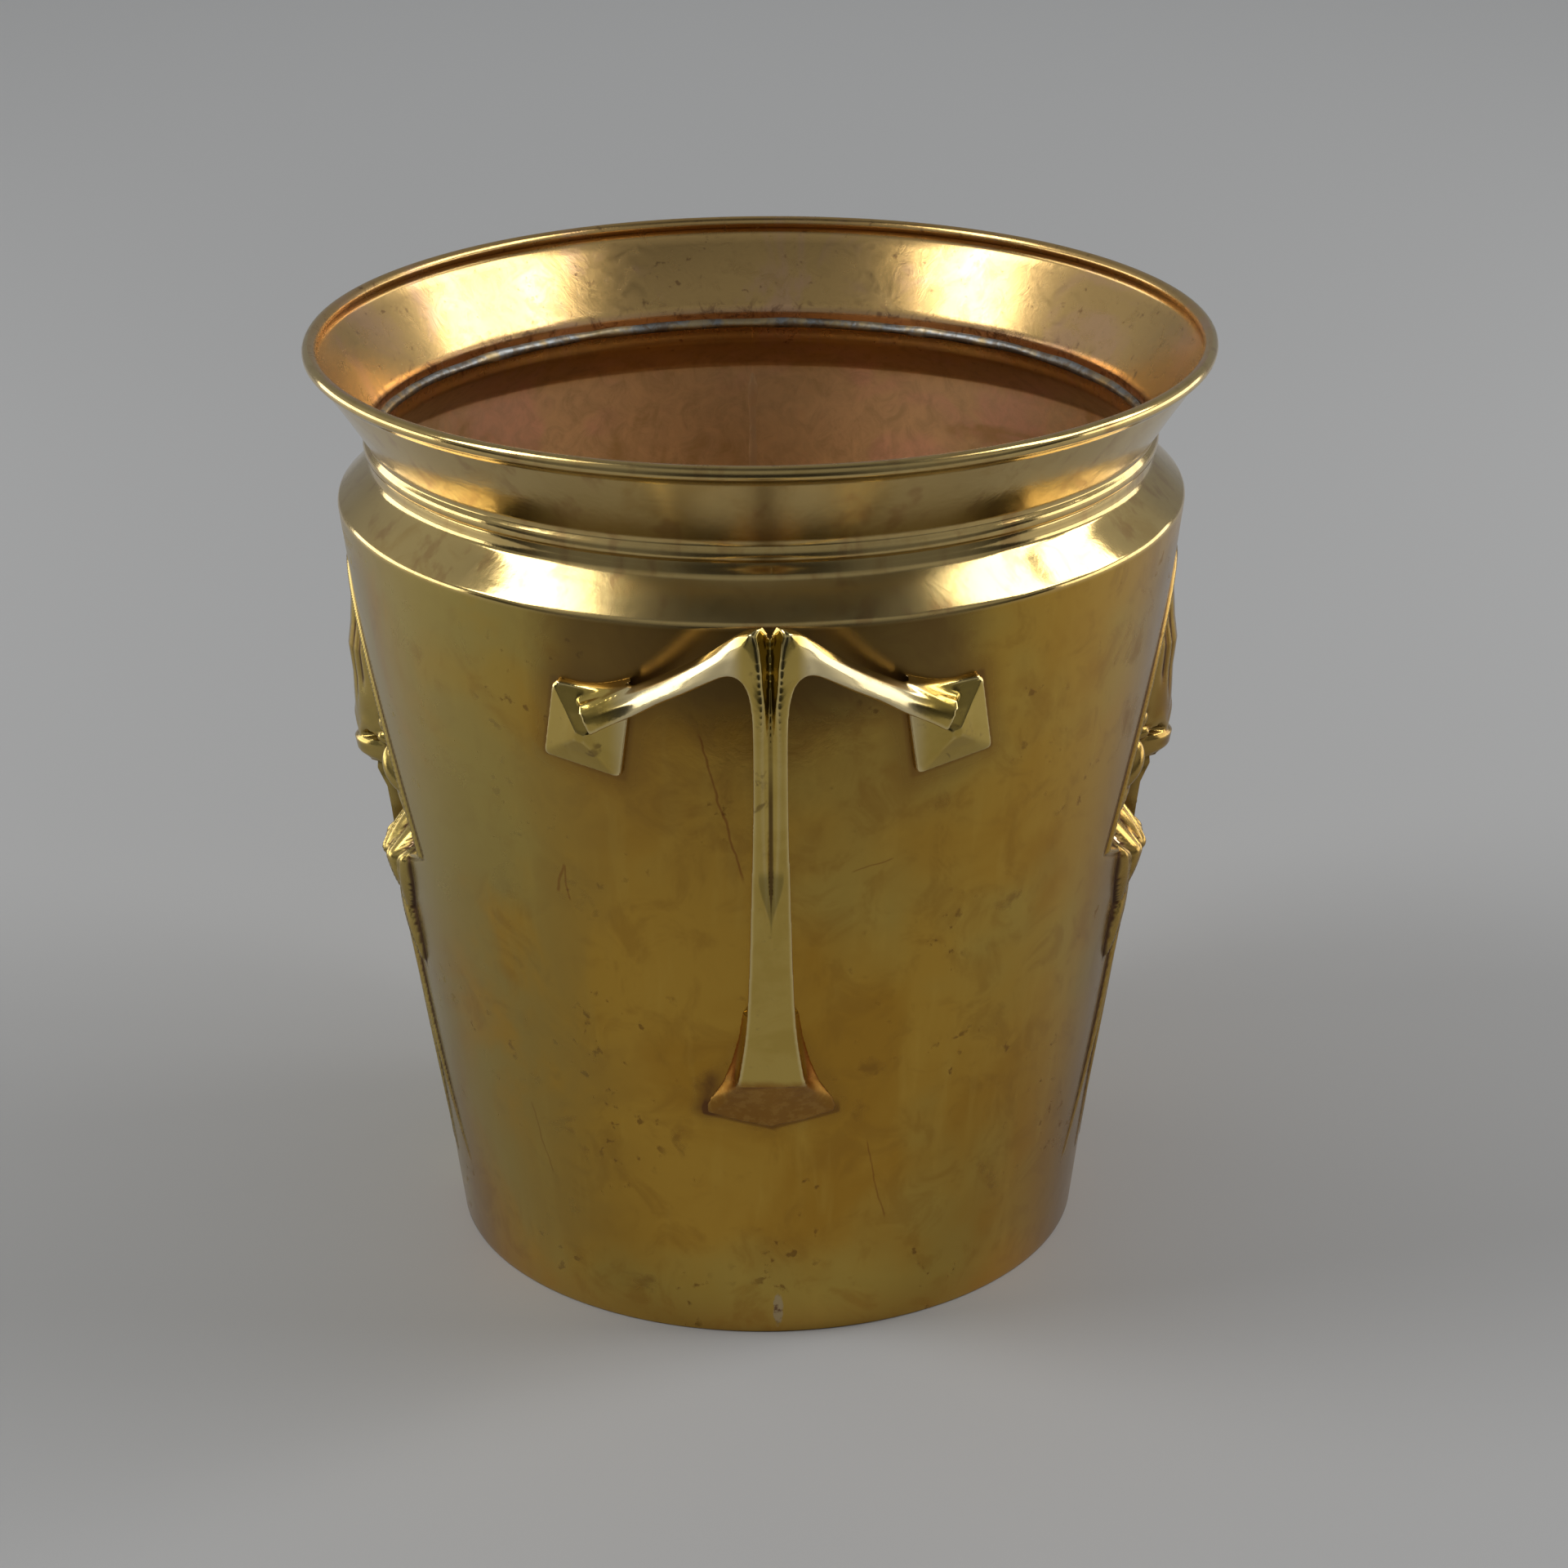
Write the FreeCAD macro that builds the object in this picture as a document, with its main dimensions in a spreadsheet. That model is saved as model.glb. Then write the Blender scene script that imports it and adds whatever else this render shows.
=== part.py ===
import FreeCAD, Part
import Sketcher
import math
import os

# Brass planter pot, in millimetres.  +Z is up, the origin is the middle of the foot
# that it stands on, the two handles face -Y and +Y, the two relief panels +X and -X.

doc = FreeCAD.newDocument("planter_pot")
sheet = doc.addObject("Spreadsheet::Sheet", "Sheet")

DIMENSIONS = {
    # stamped body: wall cone, shoulder slope and short neck
    "base_radius": 86.5,
    "shoulder_radius": 112.7,
    "shoulder_height": 210.3,
    "neck_radius": 103.5,
    "neck_height": 219.6,
    "neck_top": 224.6,
    "metal": 0.8,
    "metal_level": 0.806,
    "seam_turn": 1.6,
    # relief panel: flat arched facet pressed into each half
    "panel_top_radius": 112.4,
    "panel_top_height": 200,
    "panel_foot_radius": 90.6,
    "panel_foot_height": 122,
    "panel_ramp_radius": 104,
    "panel_ramp_height": 105.2,
    "flower_reach": 98.8,
    "flower_tip": 190,
    "flower_shoulder": 172,
    "flower_middle": 158,
    "flower_lip": 140,
    "flower_foot": 131,
    "flower_radius": 12.2,
    "lip_radius": 13.4,
    "bud_reach": 97.6,
    "bud_top": 133,
    "bud_middle": 118,
    "bud_foot": 88,
    "bud_radius": 5.6,
    "leaf_length": 40,
    "leaf_radius": 4.6,
    "leaf_top": 134,
    "leaf_azimuth": 14,
    "leaf_lean": 12,
    "stem_top": 106,
    "stem_top_spread": 5,
    "stem_foot_spread": 12,
    "stem_foot": 20,
    "stem_radius": 1.1,
    "stem_tip_radius": 0.4,
    # collar with its rolled, wired edge
    "band_radius": 105.2,
    "band_foot": 223.4,
    "band_top": 227.8,
    "band_foot_round": 1,
    "band_top_round": 1.2,
    "flare_foot_radius": 104.4,
    "flare_top_radius": 118.3,
    "flare_top": 248.9,
    "flare_edge_in": 0.972,
    "flare_edge_up": 0.44,
    "flare_foot_step": 0.2,
    "rim_radius": 118.1,
    "rim_height": 250.6,
    "bead_radius": 1.9,
    "wire_radius": 1.1,
    # base and solder
    "floor_height": 2.0,
    "flange_top": 9.0,
    "base_gap": 0.1,
    "solder_size": 1.5,
    "seam_strip": 0.4,
    "seam_strip_angle": 2.6,
    "seam_foot_gap": 0.5,
    "seam_top_gap": 3,
    # handles
    "handle_turn": 1.0,
    "knee_reach": 141.6,
    "knee_top": 218.4,
    "bar_depth": 6.5,
    "toe_height": 81.5,
    "toe_half_width": 8.6,
    "foot_half_width": 17.1,
    "foot_tip": 62.3,
    "foot_top": 99,
    "foot_back_reach": 92.8,
    "foot_front_reach": 103.3,
    "pad_side": 21.2,
    "pad_edge": 1.3,
    "pad_bed": 1.5,
    "pad_taper": 8.6,
    "pad_rise": 4.5,
    "pad_azimuth": 24.1,
    "pad_height": 179.3,
    "pad_twist": 11,
}

for row, (alias, number) in enumerate(DIMENSIONS.items(), start=1):
    sheet.set(f"A{row}", alias)
    sheet.set(f"B{row}", str(number))
    sheet.setAlias(f"B{row}", alias)
doc.recompute()

Z_AXIS = FreeCAD.Vector(0, 0, 1)
Y_AXIS = FreeCAD.Vector(0, 1, 0)
X_AXIS = FreeCAD.Vector(1, 0, 0)

# Inner corners of the halves, in metal thicknesses in from and below the outer ones.
SHOULDER_IN, SHOULDER_BELOW = 1.05, 0.36
NECK_BELOW = 0.41
PANEL_IN = 1.04

# Lengths of tool solids that only have to reach past the metal they meet.
PRISM_REACH, PRISM_WIDTH = 135, 120
FRONT_VIEW_DEPTH, PLAN_VIEW_DEPTH, STEM_HALF_DEPTH = 150, 220, 9

UPRIGHT_XZ = FreeCAD.Rotation(X_AXIS, 90)
UPRIGHT_YZ = FreeCAD.Rotation(FreeCAD.Vector(1, 1, 1), 120)
FLAT_XY = FreeCAD.Rotation()

# Slope of the wall cone and, from it, the radius of the outer and inner wall at a height.
SLOPE = "(Sheet.shoulder_radius - Sheet.base_radius) / Sheet.shoulder_height"
WALL_ANGLE = math.degrees(math.atan(
    (sheet.shoulder_radius - sheet.base_radius) / sheet.shoulder_height))


def wall(height):
    return f"(Sheet.base_radius + {SLOPE} * ({height}))"


def inner_wall(height):
    return f"({wall(height)} - Sheet.metal_level)"


def wall_radius(height):
    return sheet.base_radius + (sheet.shoulder_radius - sheet.base_radius) * height / sheet.shoulder_height


def sketch_outline(sketch, corners):
    """Draw a closed polygon whose corners are pairs of sheet expressions or numbers."""
    values = [[float(sketch.evalExpression(str(c))) for c in corner] for corner in corners]
    points = [FreeCAD.Vector(x, y, 0) for x, y in values]
    count = len(points)
    for i in range(count):
        sketch.addGeometry(Part.LineSegment(points[i], points[(i + 1) % count]), False)
    for i in range(count):
        sketch.addConstraint(Sketcher.Constraint("Coincident", i, 2, (i + 1) % count, 1))
    for i, corner in enumerate(corners):
        for kind, axis, value, expression in (
            ("DistanceX", -2, values[i][0], corner[0]),
            ("DistanceY", -1, values[i][1], corner[1]),
        ):
            if abs(value) < 1e-9:
                sketch.addConstraint(Sketcher.Constraint("PointOnObject", i, 1, axis))
                continue
            index = sketch.addConstraint(Sketcher.Constraint(kind, -1, 1, i, 1, value))
            if isinstance(expression, str):
                sketch.setExpression(f"Constraints[{index}]", expression)
    return sketch


def loose_sketch(name, rotation, corners, offset=FreeCAD.Vector()):
    sketch = doc.addObject("Sketcher::SketchObject", name)
    sketch.Placement = FreeCAD.Placement(offset, rotation)
    return sketch_outline(sketch, corners)


def revolved(name, corners, angle, turn=0.0):
    """Part::Revolution of an outline in the XZ plane, spread evenly about +X, then turned."""
    piece = doc.addObject("Part::Revolution", name)
    piece.Source = loose_sketch(name + "_outline", UPRIGHT_XZ, corners)
    piece.Axis = Z_AXIS
    piece.Base = FreeCAD.Vector()
    piece.Angle = angle
    piece.Symmetric = True
    piece.Solid = True
    piece.Placement = FreeCAD.Placement(FreeCAD.Vector(), FreeCAD.Rotation(Z_AXIS, turn))
    return piece


def extruded(name, rotation, corners, direction, forward, both_ways=False):
    piece = doc.addObject("Part::Extrusion", name)
    piece.Base = loose_sketch(name + "_outline", rotation, corners)
    piece.DirMode = "Custom"
    piece.Dir = direction
    piece.LengthFwd = forward
    piece.Symmetric = both_ways
    piece.Solid = True
    return piece


def cut(name, base, tool):
    piece = doc.addObject("Part::Cut", name)
    piece.Base = base
    piece.Tool = tool
    return piece


def common(name, base, tool):
    piece = doc.addObject("Part::Common", name)
    piece.Base = base
    piece.Tool = tool
    return piece


def fuse(name, pieces):
    piece = doc.addObject("Part::MultiFuse", name)
    piece.Shapes = pieces
    return piece


def revolved_body(name, corners):
    """PartDesign body made by one full Revolution about Z."""
    body = doc.addObject("PartDesign::Body", name)
    sketch = body.newObject("Sketcher::SketchObject", name + "_outline")
    planes = [f for f in body.Origin.OriginFeatures if f.Role == "XZ_Plane"]
    sketch.AttachmentSupport = (planes[0], [""])
    sketch.MapMode = "FlatFace"
    sketch_outline(sketch, corners)
    turn = body.newObject("PartDesign::Revolution", name + "_turn")
    turn.Profile = sketch
    turn.ReferenceAxis = (sketch, ["V_Axis"])
    turn.Angle = 360
    body.Tip = turn
    return body


# ---------------------------------------------------------------- stamped body halves

def panel_tool(name, shift):
    """Prism that flattens the wall into the arched panel, with a ramp under its foot."""
    return extruded(name, UPRIGHT_XZ, [
        (f"Sheet.panel_foot_radius - {shift}", "Sheet.panel_foot_height"),
        (f"Sheet.panel_top_radius - {shift}", "Sheet.panel_top_height"),
        (PRISM_REACH, "Sheet.panel_top_height"),
        (PRISM_REACH, "Sheet.panel_ramp_height"),
        (f"Sheet.panel_ramp_radius - {shift}", "Sheet.panel_ramp_height"),
    ], Y_AXIS, PRISM_WIDTH, True)


def turned(name, corners, placement=FreeCAD.Placement()):
    """Solid of revolution about its own Z axis, from an outline of radius against height."""
    piece = revolved(name, corners, 360)
    piece.Placement = placement
    return piece


def flower(name, shift):
    """Closed bell-shaped flower that leans out of the panel, drawn in by shift for its inside."""
    return turned(name, [
        (0, f"Sheet.flower_foot + {shift}"),
        (f"0.62 * Sheet.lip_radius - {shift}", f"Sheet.flower_foot + {shift}"),
        (f"Sheet.lip_radius - {shift}", f"Sheet.flower_lip - 3.5 + 0.6 * {shift}"),
        (f"Sheet.lip_radius - {shift}", "Sheet.flower_lip"),
        (f"Sheet.flower_radius - {shift}", "Sheet.flower_lip + 6"),
        (f"Sheet.flower_radius - {shift}", "Sheet.flower_middle"),
        (f"0.82 * Sheet.flower_radius - {shift}", "Sheet.flower_shoulder"),
        (f"0.4 * Sheet.flower_radius - 0.8 * {shift}", "Sheet.flower_tip - 5"),
        (0, f"Sheet.flower_tip - 1.4 * {shift}"),
    ], FreeCAD.Placement(FreeCAD.Vector(sheet.flower_reach, 0, 0), FreeCAD.Rotation()))


def bud(name):
    """Long bud that hangs below the flower."""
    lean = FreeCAD.Rotation(Y_AXIS, WALL_ANGLE)
    foot = FreeCAD.Vector(sheet.bud_reach - wall_drop(sheet.bud_middle, 0), 0, 0)
    return turned(name, [
        (0, "Sheet.bud_foot"),
        ("0.55 * Sheet.bud_radius", "Sheet.bud_foot + 8"),
        ("Sheet.bud_radius", "Sheet.bud_middle"),
        ("0.8 * Sheet.bud_radius", "Sheet.bud_top"),
        (0, "Sheet.bud_top"),
    ], FreeCAD.Placement(foot, lean))


def leaf(name, side):
    """Pointed leaf lying on the wall, tip down and leaning away from the bud."""
    azimuth = math.radians(side * sheet.leaf_azimuth)
    radius = wall_radius(sheet.leaf_top) - 0.35 * sheet.leaf_radius
    top = FreeCAD.Vector(radius * math.cos(azimuth), radius * math.sin(azimuth), sheet.leaf_top)
    on_wall = FreeCAD.Rotation(Z_AXIS, math.degrees(azimuth)) * FreeCAD.Rotation(Y_AXIS, WALL_ANGLE)
    hanging = on_wall * FreeCAD.Rotation(X_AXIS, side * sheet.leaf_lean) * FreeCAD.Rotation(X_AXIS, 180)
    return turned(name, [
        (0, 0),
        ("0.7 * Sheet.leaf_radius", "0.18 * Sheet.leaf_length"),
        ("Sheet.leaf_radius", "0.4 * Sheet.leaf_length"),
        ("0.65 * Sheet.leaf_radius", "0.7 * Sheet.leaf_length"),
        (0, "Sheet.leaf_length"),
    ], FreeCAD.Placement(top, hanging))


def wall_drop(lower, upper):
    return wall_radius(lower) - wall_radius(upper)


def relief(side_name):
    """Flower, bud, two leaves and five long stems that stand proud of panel and wall."""
    pieces = [flower(side_name + "_flower", "0"), bud(side_name + "_bud")]
    for side in (-1, 1):
        pieces.append(leaf(f"{side_name}_leaf_{side + 1}", side))
    for number in range(-2, 3):
        pieces.append(stem(f"{side_name}_stem_{number + 2}", sheet.stem_top_spread * number, sheet.stem_foot_spread * number))
    return pieces


def stem(name, top_azimuth, foot_azimuth):
    """Thin tapering ridge laid on the wall from under the leaves down to the foot."""
    ends = []
    for azimuth, height in ((foot_azimuth, sheet.stem_foot), (top_azimuth, sheet.stem_top)):
        angle = math.radians(azimuth)
        radius = wall_radius(height)
        ends.append(FreeCAD.Vector(radius * math.cos(angle), radius * math.sin(angle), height))
    ridge = doc.addObject("Part::Cone", name)
    ridge.setExpression("Radius1", "Sheet.stem_tip_radius")
    ridge.setExpression("Radius2", "Sheet.stem_radius")
    along = ends[1] - ends[0]
    ridge.Height = along.Length
    ridge.Placement = FreeCAD.Placement(ends[0], FreeCAD.Rotation(Z_AXIS, along))
    return ridge


def body_half(name, turn):
    """One die-stamped half of the body: wall, relief panel, shoulder and neck."""
    skin = revolved(name + "_skin", [
        (0, 0),
        ("Sheet.base_radius", 0),
        ("Sheet.shoulder_radius", "Sheet.shoulder_height"),
        ("Sheet.neck_radius", "Sheet.neck_height"),
        ("Sheet.neck_radius", "Sheet.neck_top"),
        (0, "Sheet.neck_top"),
    ], 180, sheet.seam_turn)
    hollow = revolved(name + "_hollow", [
        (0, 0),
        (inner_wall("0"), 0),
        (f"Sheet.shoulder_radius - {SHOULDER_IN} * Sheet.metal", f"Sheet.shoulder_height - {SHOULDER_BELOW} * Sheet.metal"),
        ("Sheet.neck_radius - Sheet.metal", f"Sheet.neck_height - {NECK_BELOW} * Sheet.metal"),
        ("Sheet.neck_radius - Sheet.metal", "Sheet.neck_top"),
        (0, "Sheet.neck_top"),
    ], 180, sheet.seam_turn)
    flattened = cut(name + "_flattened", skin, panel_tool(name + "_panel", "0"))
    flat_back = cut(name + "_flat_back", hollow, panel_tool(name + "_panel_back", f"{PANEL_IN} * Sheet.metal"))
    inside = fuse(name + "_inside", [flat_back, flower(name + "_flower_back", "Sheet.metal")])
    solid = fuse(name + "_solid", [flattened] + relief(name))
    half = cut(name, solid, inside)
    half.Placement = FreeCAD.Placement(FreeCAD.Vector(), FreeCAD.Rotation(Z_AXIS, turn))
    return half


# ---------------------------------------------------------------- collar, wire, base, solder

def collar():
    """Flared collar: skirt band outside the neck, cone and rolled edge around the wire."""
    body = revolved_body("collar", [
        ("Sheet.neck_radius", "Sheet.band_foot"),
        ("Sheet.neck_radius + Sheet.metal", "Sheet.band_foot"),
        ("Sheet.band_radius", "Sheet.band_foot + Sheet.band_foot_round"),
        ("Sheet.band_radius", "Sheet.band_top - Sheet.band_top_round"),
        ("Sheet.flare_foot_radius", "Sheet.band_top"),
        ("Sheet.flare_top_radius", "Sheet.flare_top"),
        ("Sheet.flare_top_radius - Sheet.flare_edge_in", "Sheet.flare_top + Sheet.flare_edge_up"),
        ("Sheet.neck_radius", "Sheet.band_top + Sheet.flare_foot_step"),
    ])
    for kind, name, radius in (("Additive", "rolled_edge", "bead_radius"), ("Subtractive", "wire_room", "wire_radius")):
        ring = body.newObject(f"PartDesign::{kind}Torus", name)
        ring.setExpression("Radius1", "Sheet.rim_radius")
        ring.setExpression("Radius2", "Sheet." + radius)
        ring.setExpression("Placement.Base.z", "Sheet.rim_height")
        body.Tip = ring
        doc.recompute()
    return body


def rim_wire():
    ring = doc.addObject("Part::Torus", "rim_wire")
    ring.setExpression("Radius1", "Sheet.rim_radius")
    ring.setExpression("Radius2", "Sheet.wire_radius")
    ring.setExpression("Placement.Base.z", "Sheet.rim_height")
    return ring


def base_plate():
    """Pressed base: flat disc with an upturned flange inside the wall."""
    def flange(height, extra):
        return f"{inner_wall(height)} - Sheet.base_gap - {extra}"
    return revolved_body("base_plate", [
        (0, "Sheet.floor_height"),
        (flange("Sheet.floor_height", "0"), "Sheet.floor_height"),
        (flange("Sheet.flange_top", "0"), "Sheet.flange_top"),
        (flange("Sheet.flange_top", "Sheet.metal"), "Sheet.flange_top"),
        (flange("Sheet.floor_height + Sheet.metal", "Sheet.metal"), "Sheet.floor_height + Sheet.metal"),
        (0, "Sheet.floor_height + Sheet.metal"),
    ])


def base_solder():
    """Solder fillet that seals the flange's edge to the wall."""
    return revolved_body("base_solder", [
        (f"{inner_wall('Sheet.flange_top')} - Sheet.metal", "Sheet.flange_top"),
        (f"{inner_wall('Sheet.flange_top')}", "Sheet.flange_top"),
        (f"{inner_wall('Sheet.flange_top + Sheet.solder_size')}", "Sheet.flange_top + Sheet.solder_size"),
    ])


def neck_solder():
    """Solder ring on the neck's top edge, inside the collar."""
    return revolved_body("neck_solder", [
        ("Sheet.neck_radius - Sheet.metal", "Sheet.neck_top"),
        ("Sheet.neck_radius", "Sheet.neck_top"),
        ("Sheet.neck_radius", "Sheet.neck_top + Sheet.solder_size"),
    ])


def seam_solder(name, turn):
    """Strip of solder along the inside of one of the body's two upright seams."""
    foot = "Sheet.flange_top + Sheet.solder_size + Sheet.seam_foot_gap"
    top = "Sheet.shoulder_height - Sheet.seam_top_gap"
    return revolved(name, [
        (inner_wall(foot), foot),
        (inner_wall(top), top),
        (f"{inner_wall(top)} - Sheet.seam_strip", top),
        (f"{inner_wall(foot)} - Sheet.seam_strip", foot),
    ], sheet.seam_strip_angle, turn + sheet.seam_turn)


# ---------------------------------------------------------------- handles

def stem_outline():
    """Front view of half the stem, from the notch between the two knees down to the toe."""
    return [
        (0, 202),
        (2.9, "Sheet.knee_top - 1.2"),
        (4.8, "Sheet.knee_top"),
        (5.75, 206.2),
        (4.3, 198),
        (4.3, 178),
        (5.35, 126),
        (6.15, 104),
        ("Sheet.toe_half_width", "Sheet.toe_height"),
        (0, "Sheet.toe_height"),
    ]


def stem_side_view():
    """Side view of the stem: reach from the pot's axis against height."""
    front = [
        ("Sheet.knee_reach", "Sheet.knee_top"),
        ("Sheet.knee_reach - 1.5", 208),
        (136.7, 190.5),
        (128, 157.3),
        (118, 126),
        (110.3, 104),
        (103.3, "Sheet.toe_height"),
    ]
    back = [
        (92, "Sheet.toe_height"),
        (101.5, 101),
        (112, 128),
        (121.8, 159),
        (129.8, 190.5),
        (133, 205),
        ("Sheet.knee_reach - Sheet.bar_depth", "Sheet.knee_top"),
    ]
    return front + back


def arm_outline():
    """Front view of the right arm, from the knee out to the squared end over the pad."""
    upper = [
        (2.9, "Sheet.knee_top - 1.2"),
        (4.8, "Sheet.knee_top"),
        (8.1, 216),
        (12.9, 210.9),
        (19.4, 205),
        (26, 199.4),
        (34.5, 194),
        (46.6, 186.4),
    ]
    lower = [
        (44, 181.6),
        (33, 189),
        (26, 193.8),
        (19.5, 199),
        (13.5, 203.6),
        (8.3, 205.6),
        (4.4, 202),
    ]
    return upper + lower


def arm_plan_view():
    """Plan view of the right arm: distance sideways against reach from the pot's axis."""
    front = [
        (2, "Sheet.knee_reach"),
        (5, "Sheet.knee_reach"),
        (12.9, 133.7),
        (26, 121.6),
        (39.8, 110.4),
        (47.5, 107.5),
    ]
    back = [
        (47.5, 98),
        (26, 115),
        (12.9, 127),
        (2, "Sheet.knee_reach - Sheet.bar_depth"),
    ]
    return front + back


def pad_frame():
    """Rotation whose Y axis leaves the wall squarely at a pad, with the pad's own twist."""
    about_wall = FreeCAD.Rotation(Z_AXIS, -sheet.pad_azimuth) * FreeCAD.Rotation(X_AXIS, -WALL_ANGLE)
    return about_wall * FreeCAD.Rotation(Y_AXIS, -sheet.pad_twist)


def pad(name, first, last, taper):
    """Square slab, or pyramid when tapered, standing on the wall between two heights."""
    slab = doc.addObject("Part::Wedge", name)
    half = "Sheet.pad_side / 2"
    for prop, expression in (
        ("Xmin", f"-{half}"), ("Xmax", half), ("Zmin", f"-{half}"), ("Zmax", half),
        ("X2min", f"-{half} + {taper}"), ("X2max", f"{half} - {taper}"),
        ("Z2min", f"-{half} + {taper}"), ("Z2max", f"{half} - {taper}"),
        ("Ymin", first), ("Ymax", last),
    ):
        slab.setExpression(prop, expression)
    angle = math.radians(sheet.pad_azimuth)
    radius = wall_radius(sheet.pad_height)
    centre = FreeCAD.Vector(radius * math.sin(angle), radius * math.cos(angle), sheet.pad_height)
    slab.Placement = FreeCAD.Placement(centre, pad_frame())
    return slab


def flared_foot(name):
    """Loft from the shield-shaped outline on the wall to the narrow end of the stem."""
    on_wall = loose_sketch(name + "_on_wall", UPRIGHT_XZ, [
        (0, "Sheet.foot_tip"),
        ("Sheet.foot_half_width", "Sheet.foot_tip + 6.3"),
        ("Sheet.foot_half_width - 0.2", "Sheet.foot_tip + 11.5"),
        (10.8, 86),
        (7.2, "Sheet.foot_top"),
        (0, "Sheet.foot_top"),
    ], FreeCAD.Vector(0, sheet.foot_back_reach, 0))
    at_toe = loose_sketch(name + "_at_toe", UPRIGHT_XZ, [
        (0, "Sheet.toe_height"),
        ("Sheet.toe_half_width", "Sheet.toe_height"),
        ("Sheet.toe_half_width - 0.1", "Sheet.toe_height + 1"),
        (7.4, 91),
        (6.3, "Sheet.foot_top"),
        (0, "Sheet.foot_top"),
    ], FreeCAD.Vector(0, sheet.foot_front_reach, 0))
    foot = doc.addObject("Part::Loft", name)
    foot.Sections = [on_wall, at_toe]
    foot.Solid = True
    foot.Ruled = True
    return foot


def handle(name, turn):
    """Cast handle: two pads, two arms that meet in the knees, and one stem to a flared foot."""
    stem_front = extruded(name + "_stem_front", UPRIGHT_XZ, stem_outline(), Y_AXIS, FRONT_VIEW_DEPTH)
    stem_side = extruded(name + "_stem_side", UPRIGHT_YZ, stem_side_view(), X_AXIS, STEM_HALF_DEPTH)
    bar = common(name + "_stem", stem_front, stem_side)
    arm_front = extruded(name + "_arm_front", UPRIGHT_XZ, arm_outline(), Y_AXIS, FRONT_VIEW_DEPTH)
    arm_plan = extruded(name + "_arm_plan", FLAT_XY, arm_plan_view(), Z_AXIS, PLAN_VIEW_DEPTH)
    arm = common(name + "_arm", arm_front, arm_plan)
    foot = flared_foot(name + "_foot")
    slab = pad(name + "_slab", "-Sheet.pad_bed", "Sheet.pad_edge", "0")
    pyramid = pad(name + "_pyramid", "Sheet.pad_edge", "Sheet.pad_edge + Sheet.pad_rise", "Sheet.pad_taper")
    right = fuse(name + "_right", [bar, arm, foot, slab, pyramid])
    left = doc.addObject("Part::Mirroring", name + "_left")
    left.Source = right
    left.Normal = X_AXIS
    left.Base = FreeCAD.Vector()
    both = fuse(name + "_both", [right, left])
    seat = doc.addObject("Part::Cone", name + "_seat")
    seat.setExpression("Radius1", "Sheet.base_radius")
    seat.setExpression("Radius2", "Sheet.shoulder_radius")
    seat.setExpression("Height", "Sheet.shoulder_height")
    whole = cut(name, both, seat)
    whole.Placement = FreeCAD.Placement(FreeCAD.Vector(), FreeCAD.Rotation(Z_AXIS, turn + sheet.handle_turn))
    return whole


pieces = {
    "body_half_right": body_half("body_half_right", 0),
    "body_half_left": body_half("body_half_left", 180),
    "collar": collar(),
    "rim_wire": rim_wire(),
    "base_plate": base_plate(),
    "base_solder": base_solder(),
    "neck_solder": neck_solder(),
    "seam_solder_front": seam_solder("seam_solder_front", -90),
    "seam_solder_back": seam_solder("seam_solder_back", 90),
    "handle_front": handle("handle_front", 180),
    "handle_back": handle("handle_back", 0),
}
doc.recompute()

for obj in doc.Objects:
    problems = [state for state in obj.State if state in ("Invalid", "Error")]
    if problems:
        raise RuntimeError(f"{obj.Name} is {problems}")

os.makedirs("parts", exist_ok=True)
for node, piece in pieces.items():
    piece.Label = node
    shape = piece.Shape
    if shape.isNull() or not shape.isValid() or shape.Volume <= 0:
        raise RuntimeError(f"{node} has no valid solid")
    box = shape.BoundBox
    print(f"{node}: {len(shape.Solids)} solid, {shape.Volume / 1000:.2f} cm3, "
          f"x {box.XMin:.1f}..{box.XMax:.1f} y {box.YMin:.1f}..{box.YMax:.1f} z {box.ZMin:.1f}..{box.ZMax:.1f}")
    shape.exportStep(f"parts/{node}.step")
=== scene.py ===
import math
from functools import partialmethod

import bpy
import numpy as np
from mathutils import Euler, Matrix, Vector


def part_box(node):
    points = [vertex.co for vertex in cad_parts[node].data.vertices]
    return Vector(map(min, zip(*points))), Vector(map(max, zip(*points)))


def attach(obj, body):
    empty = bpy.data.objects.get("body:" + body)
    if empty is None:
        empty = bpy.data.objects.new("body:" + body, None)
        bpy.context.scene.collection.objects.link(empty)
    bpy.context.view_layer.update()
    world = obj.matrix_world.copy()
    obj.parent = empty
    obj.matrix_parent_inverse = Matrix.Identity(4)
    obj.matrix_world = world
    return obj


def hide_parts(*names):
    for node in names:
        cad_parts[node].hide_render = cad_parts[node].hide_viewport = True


# Brass planter pot.  Shapes are worked out in millimetres and made into meshes in metres.
# +Z is up, the handles face -Y and +Y, the relief panels face -X and +X.

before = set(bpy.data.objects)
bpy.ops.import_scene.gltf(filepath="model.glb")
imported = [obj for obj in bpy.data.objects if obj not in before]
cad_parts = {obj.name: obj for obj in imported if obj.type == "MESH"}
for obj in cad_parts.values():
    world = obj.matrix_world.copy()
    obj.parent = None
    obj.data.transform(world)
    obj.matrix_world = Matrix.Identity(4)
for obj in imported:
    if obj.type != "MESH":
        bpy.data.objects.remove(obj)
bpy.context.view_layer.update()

MM = 0.001


def cad(node):
    """Lowest and highest corners of a CAD node in millimetres."""
    low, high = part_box(node)
    return [v / MM for v in low], [v / MM for v in high]


# ---------------- driving sizes, from the frame

POT_HIGH = cad("body_half_right")[1]
WIRE_LOW, WIRE_HIGH = cad("rim_wire")
BASE_LOW, BASE_HIGH = cad("base_plate")

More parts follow.
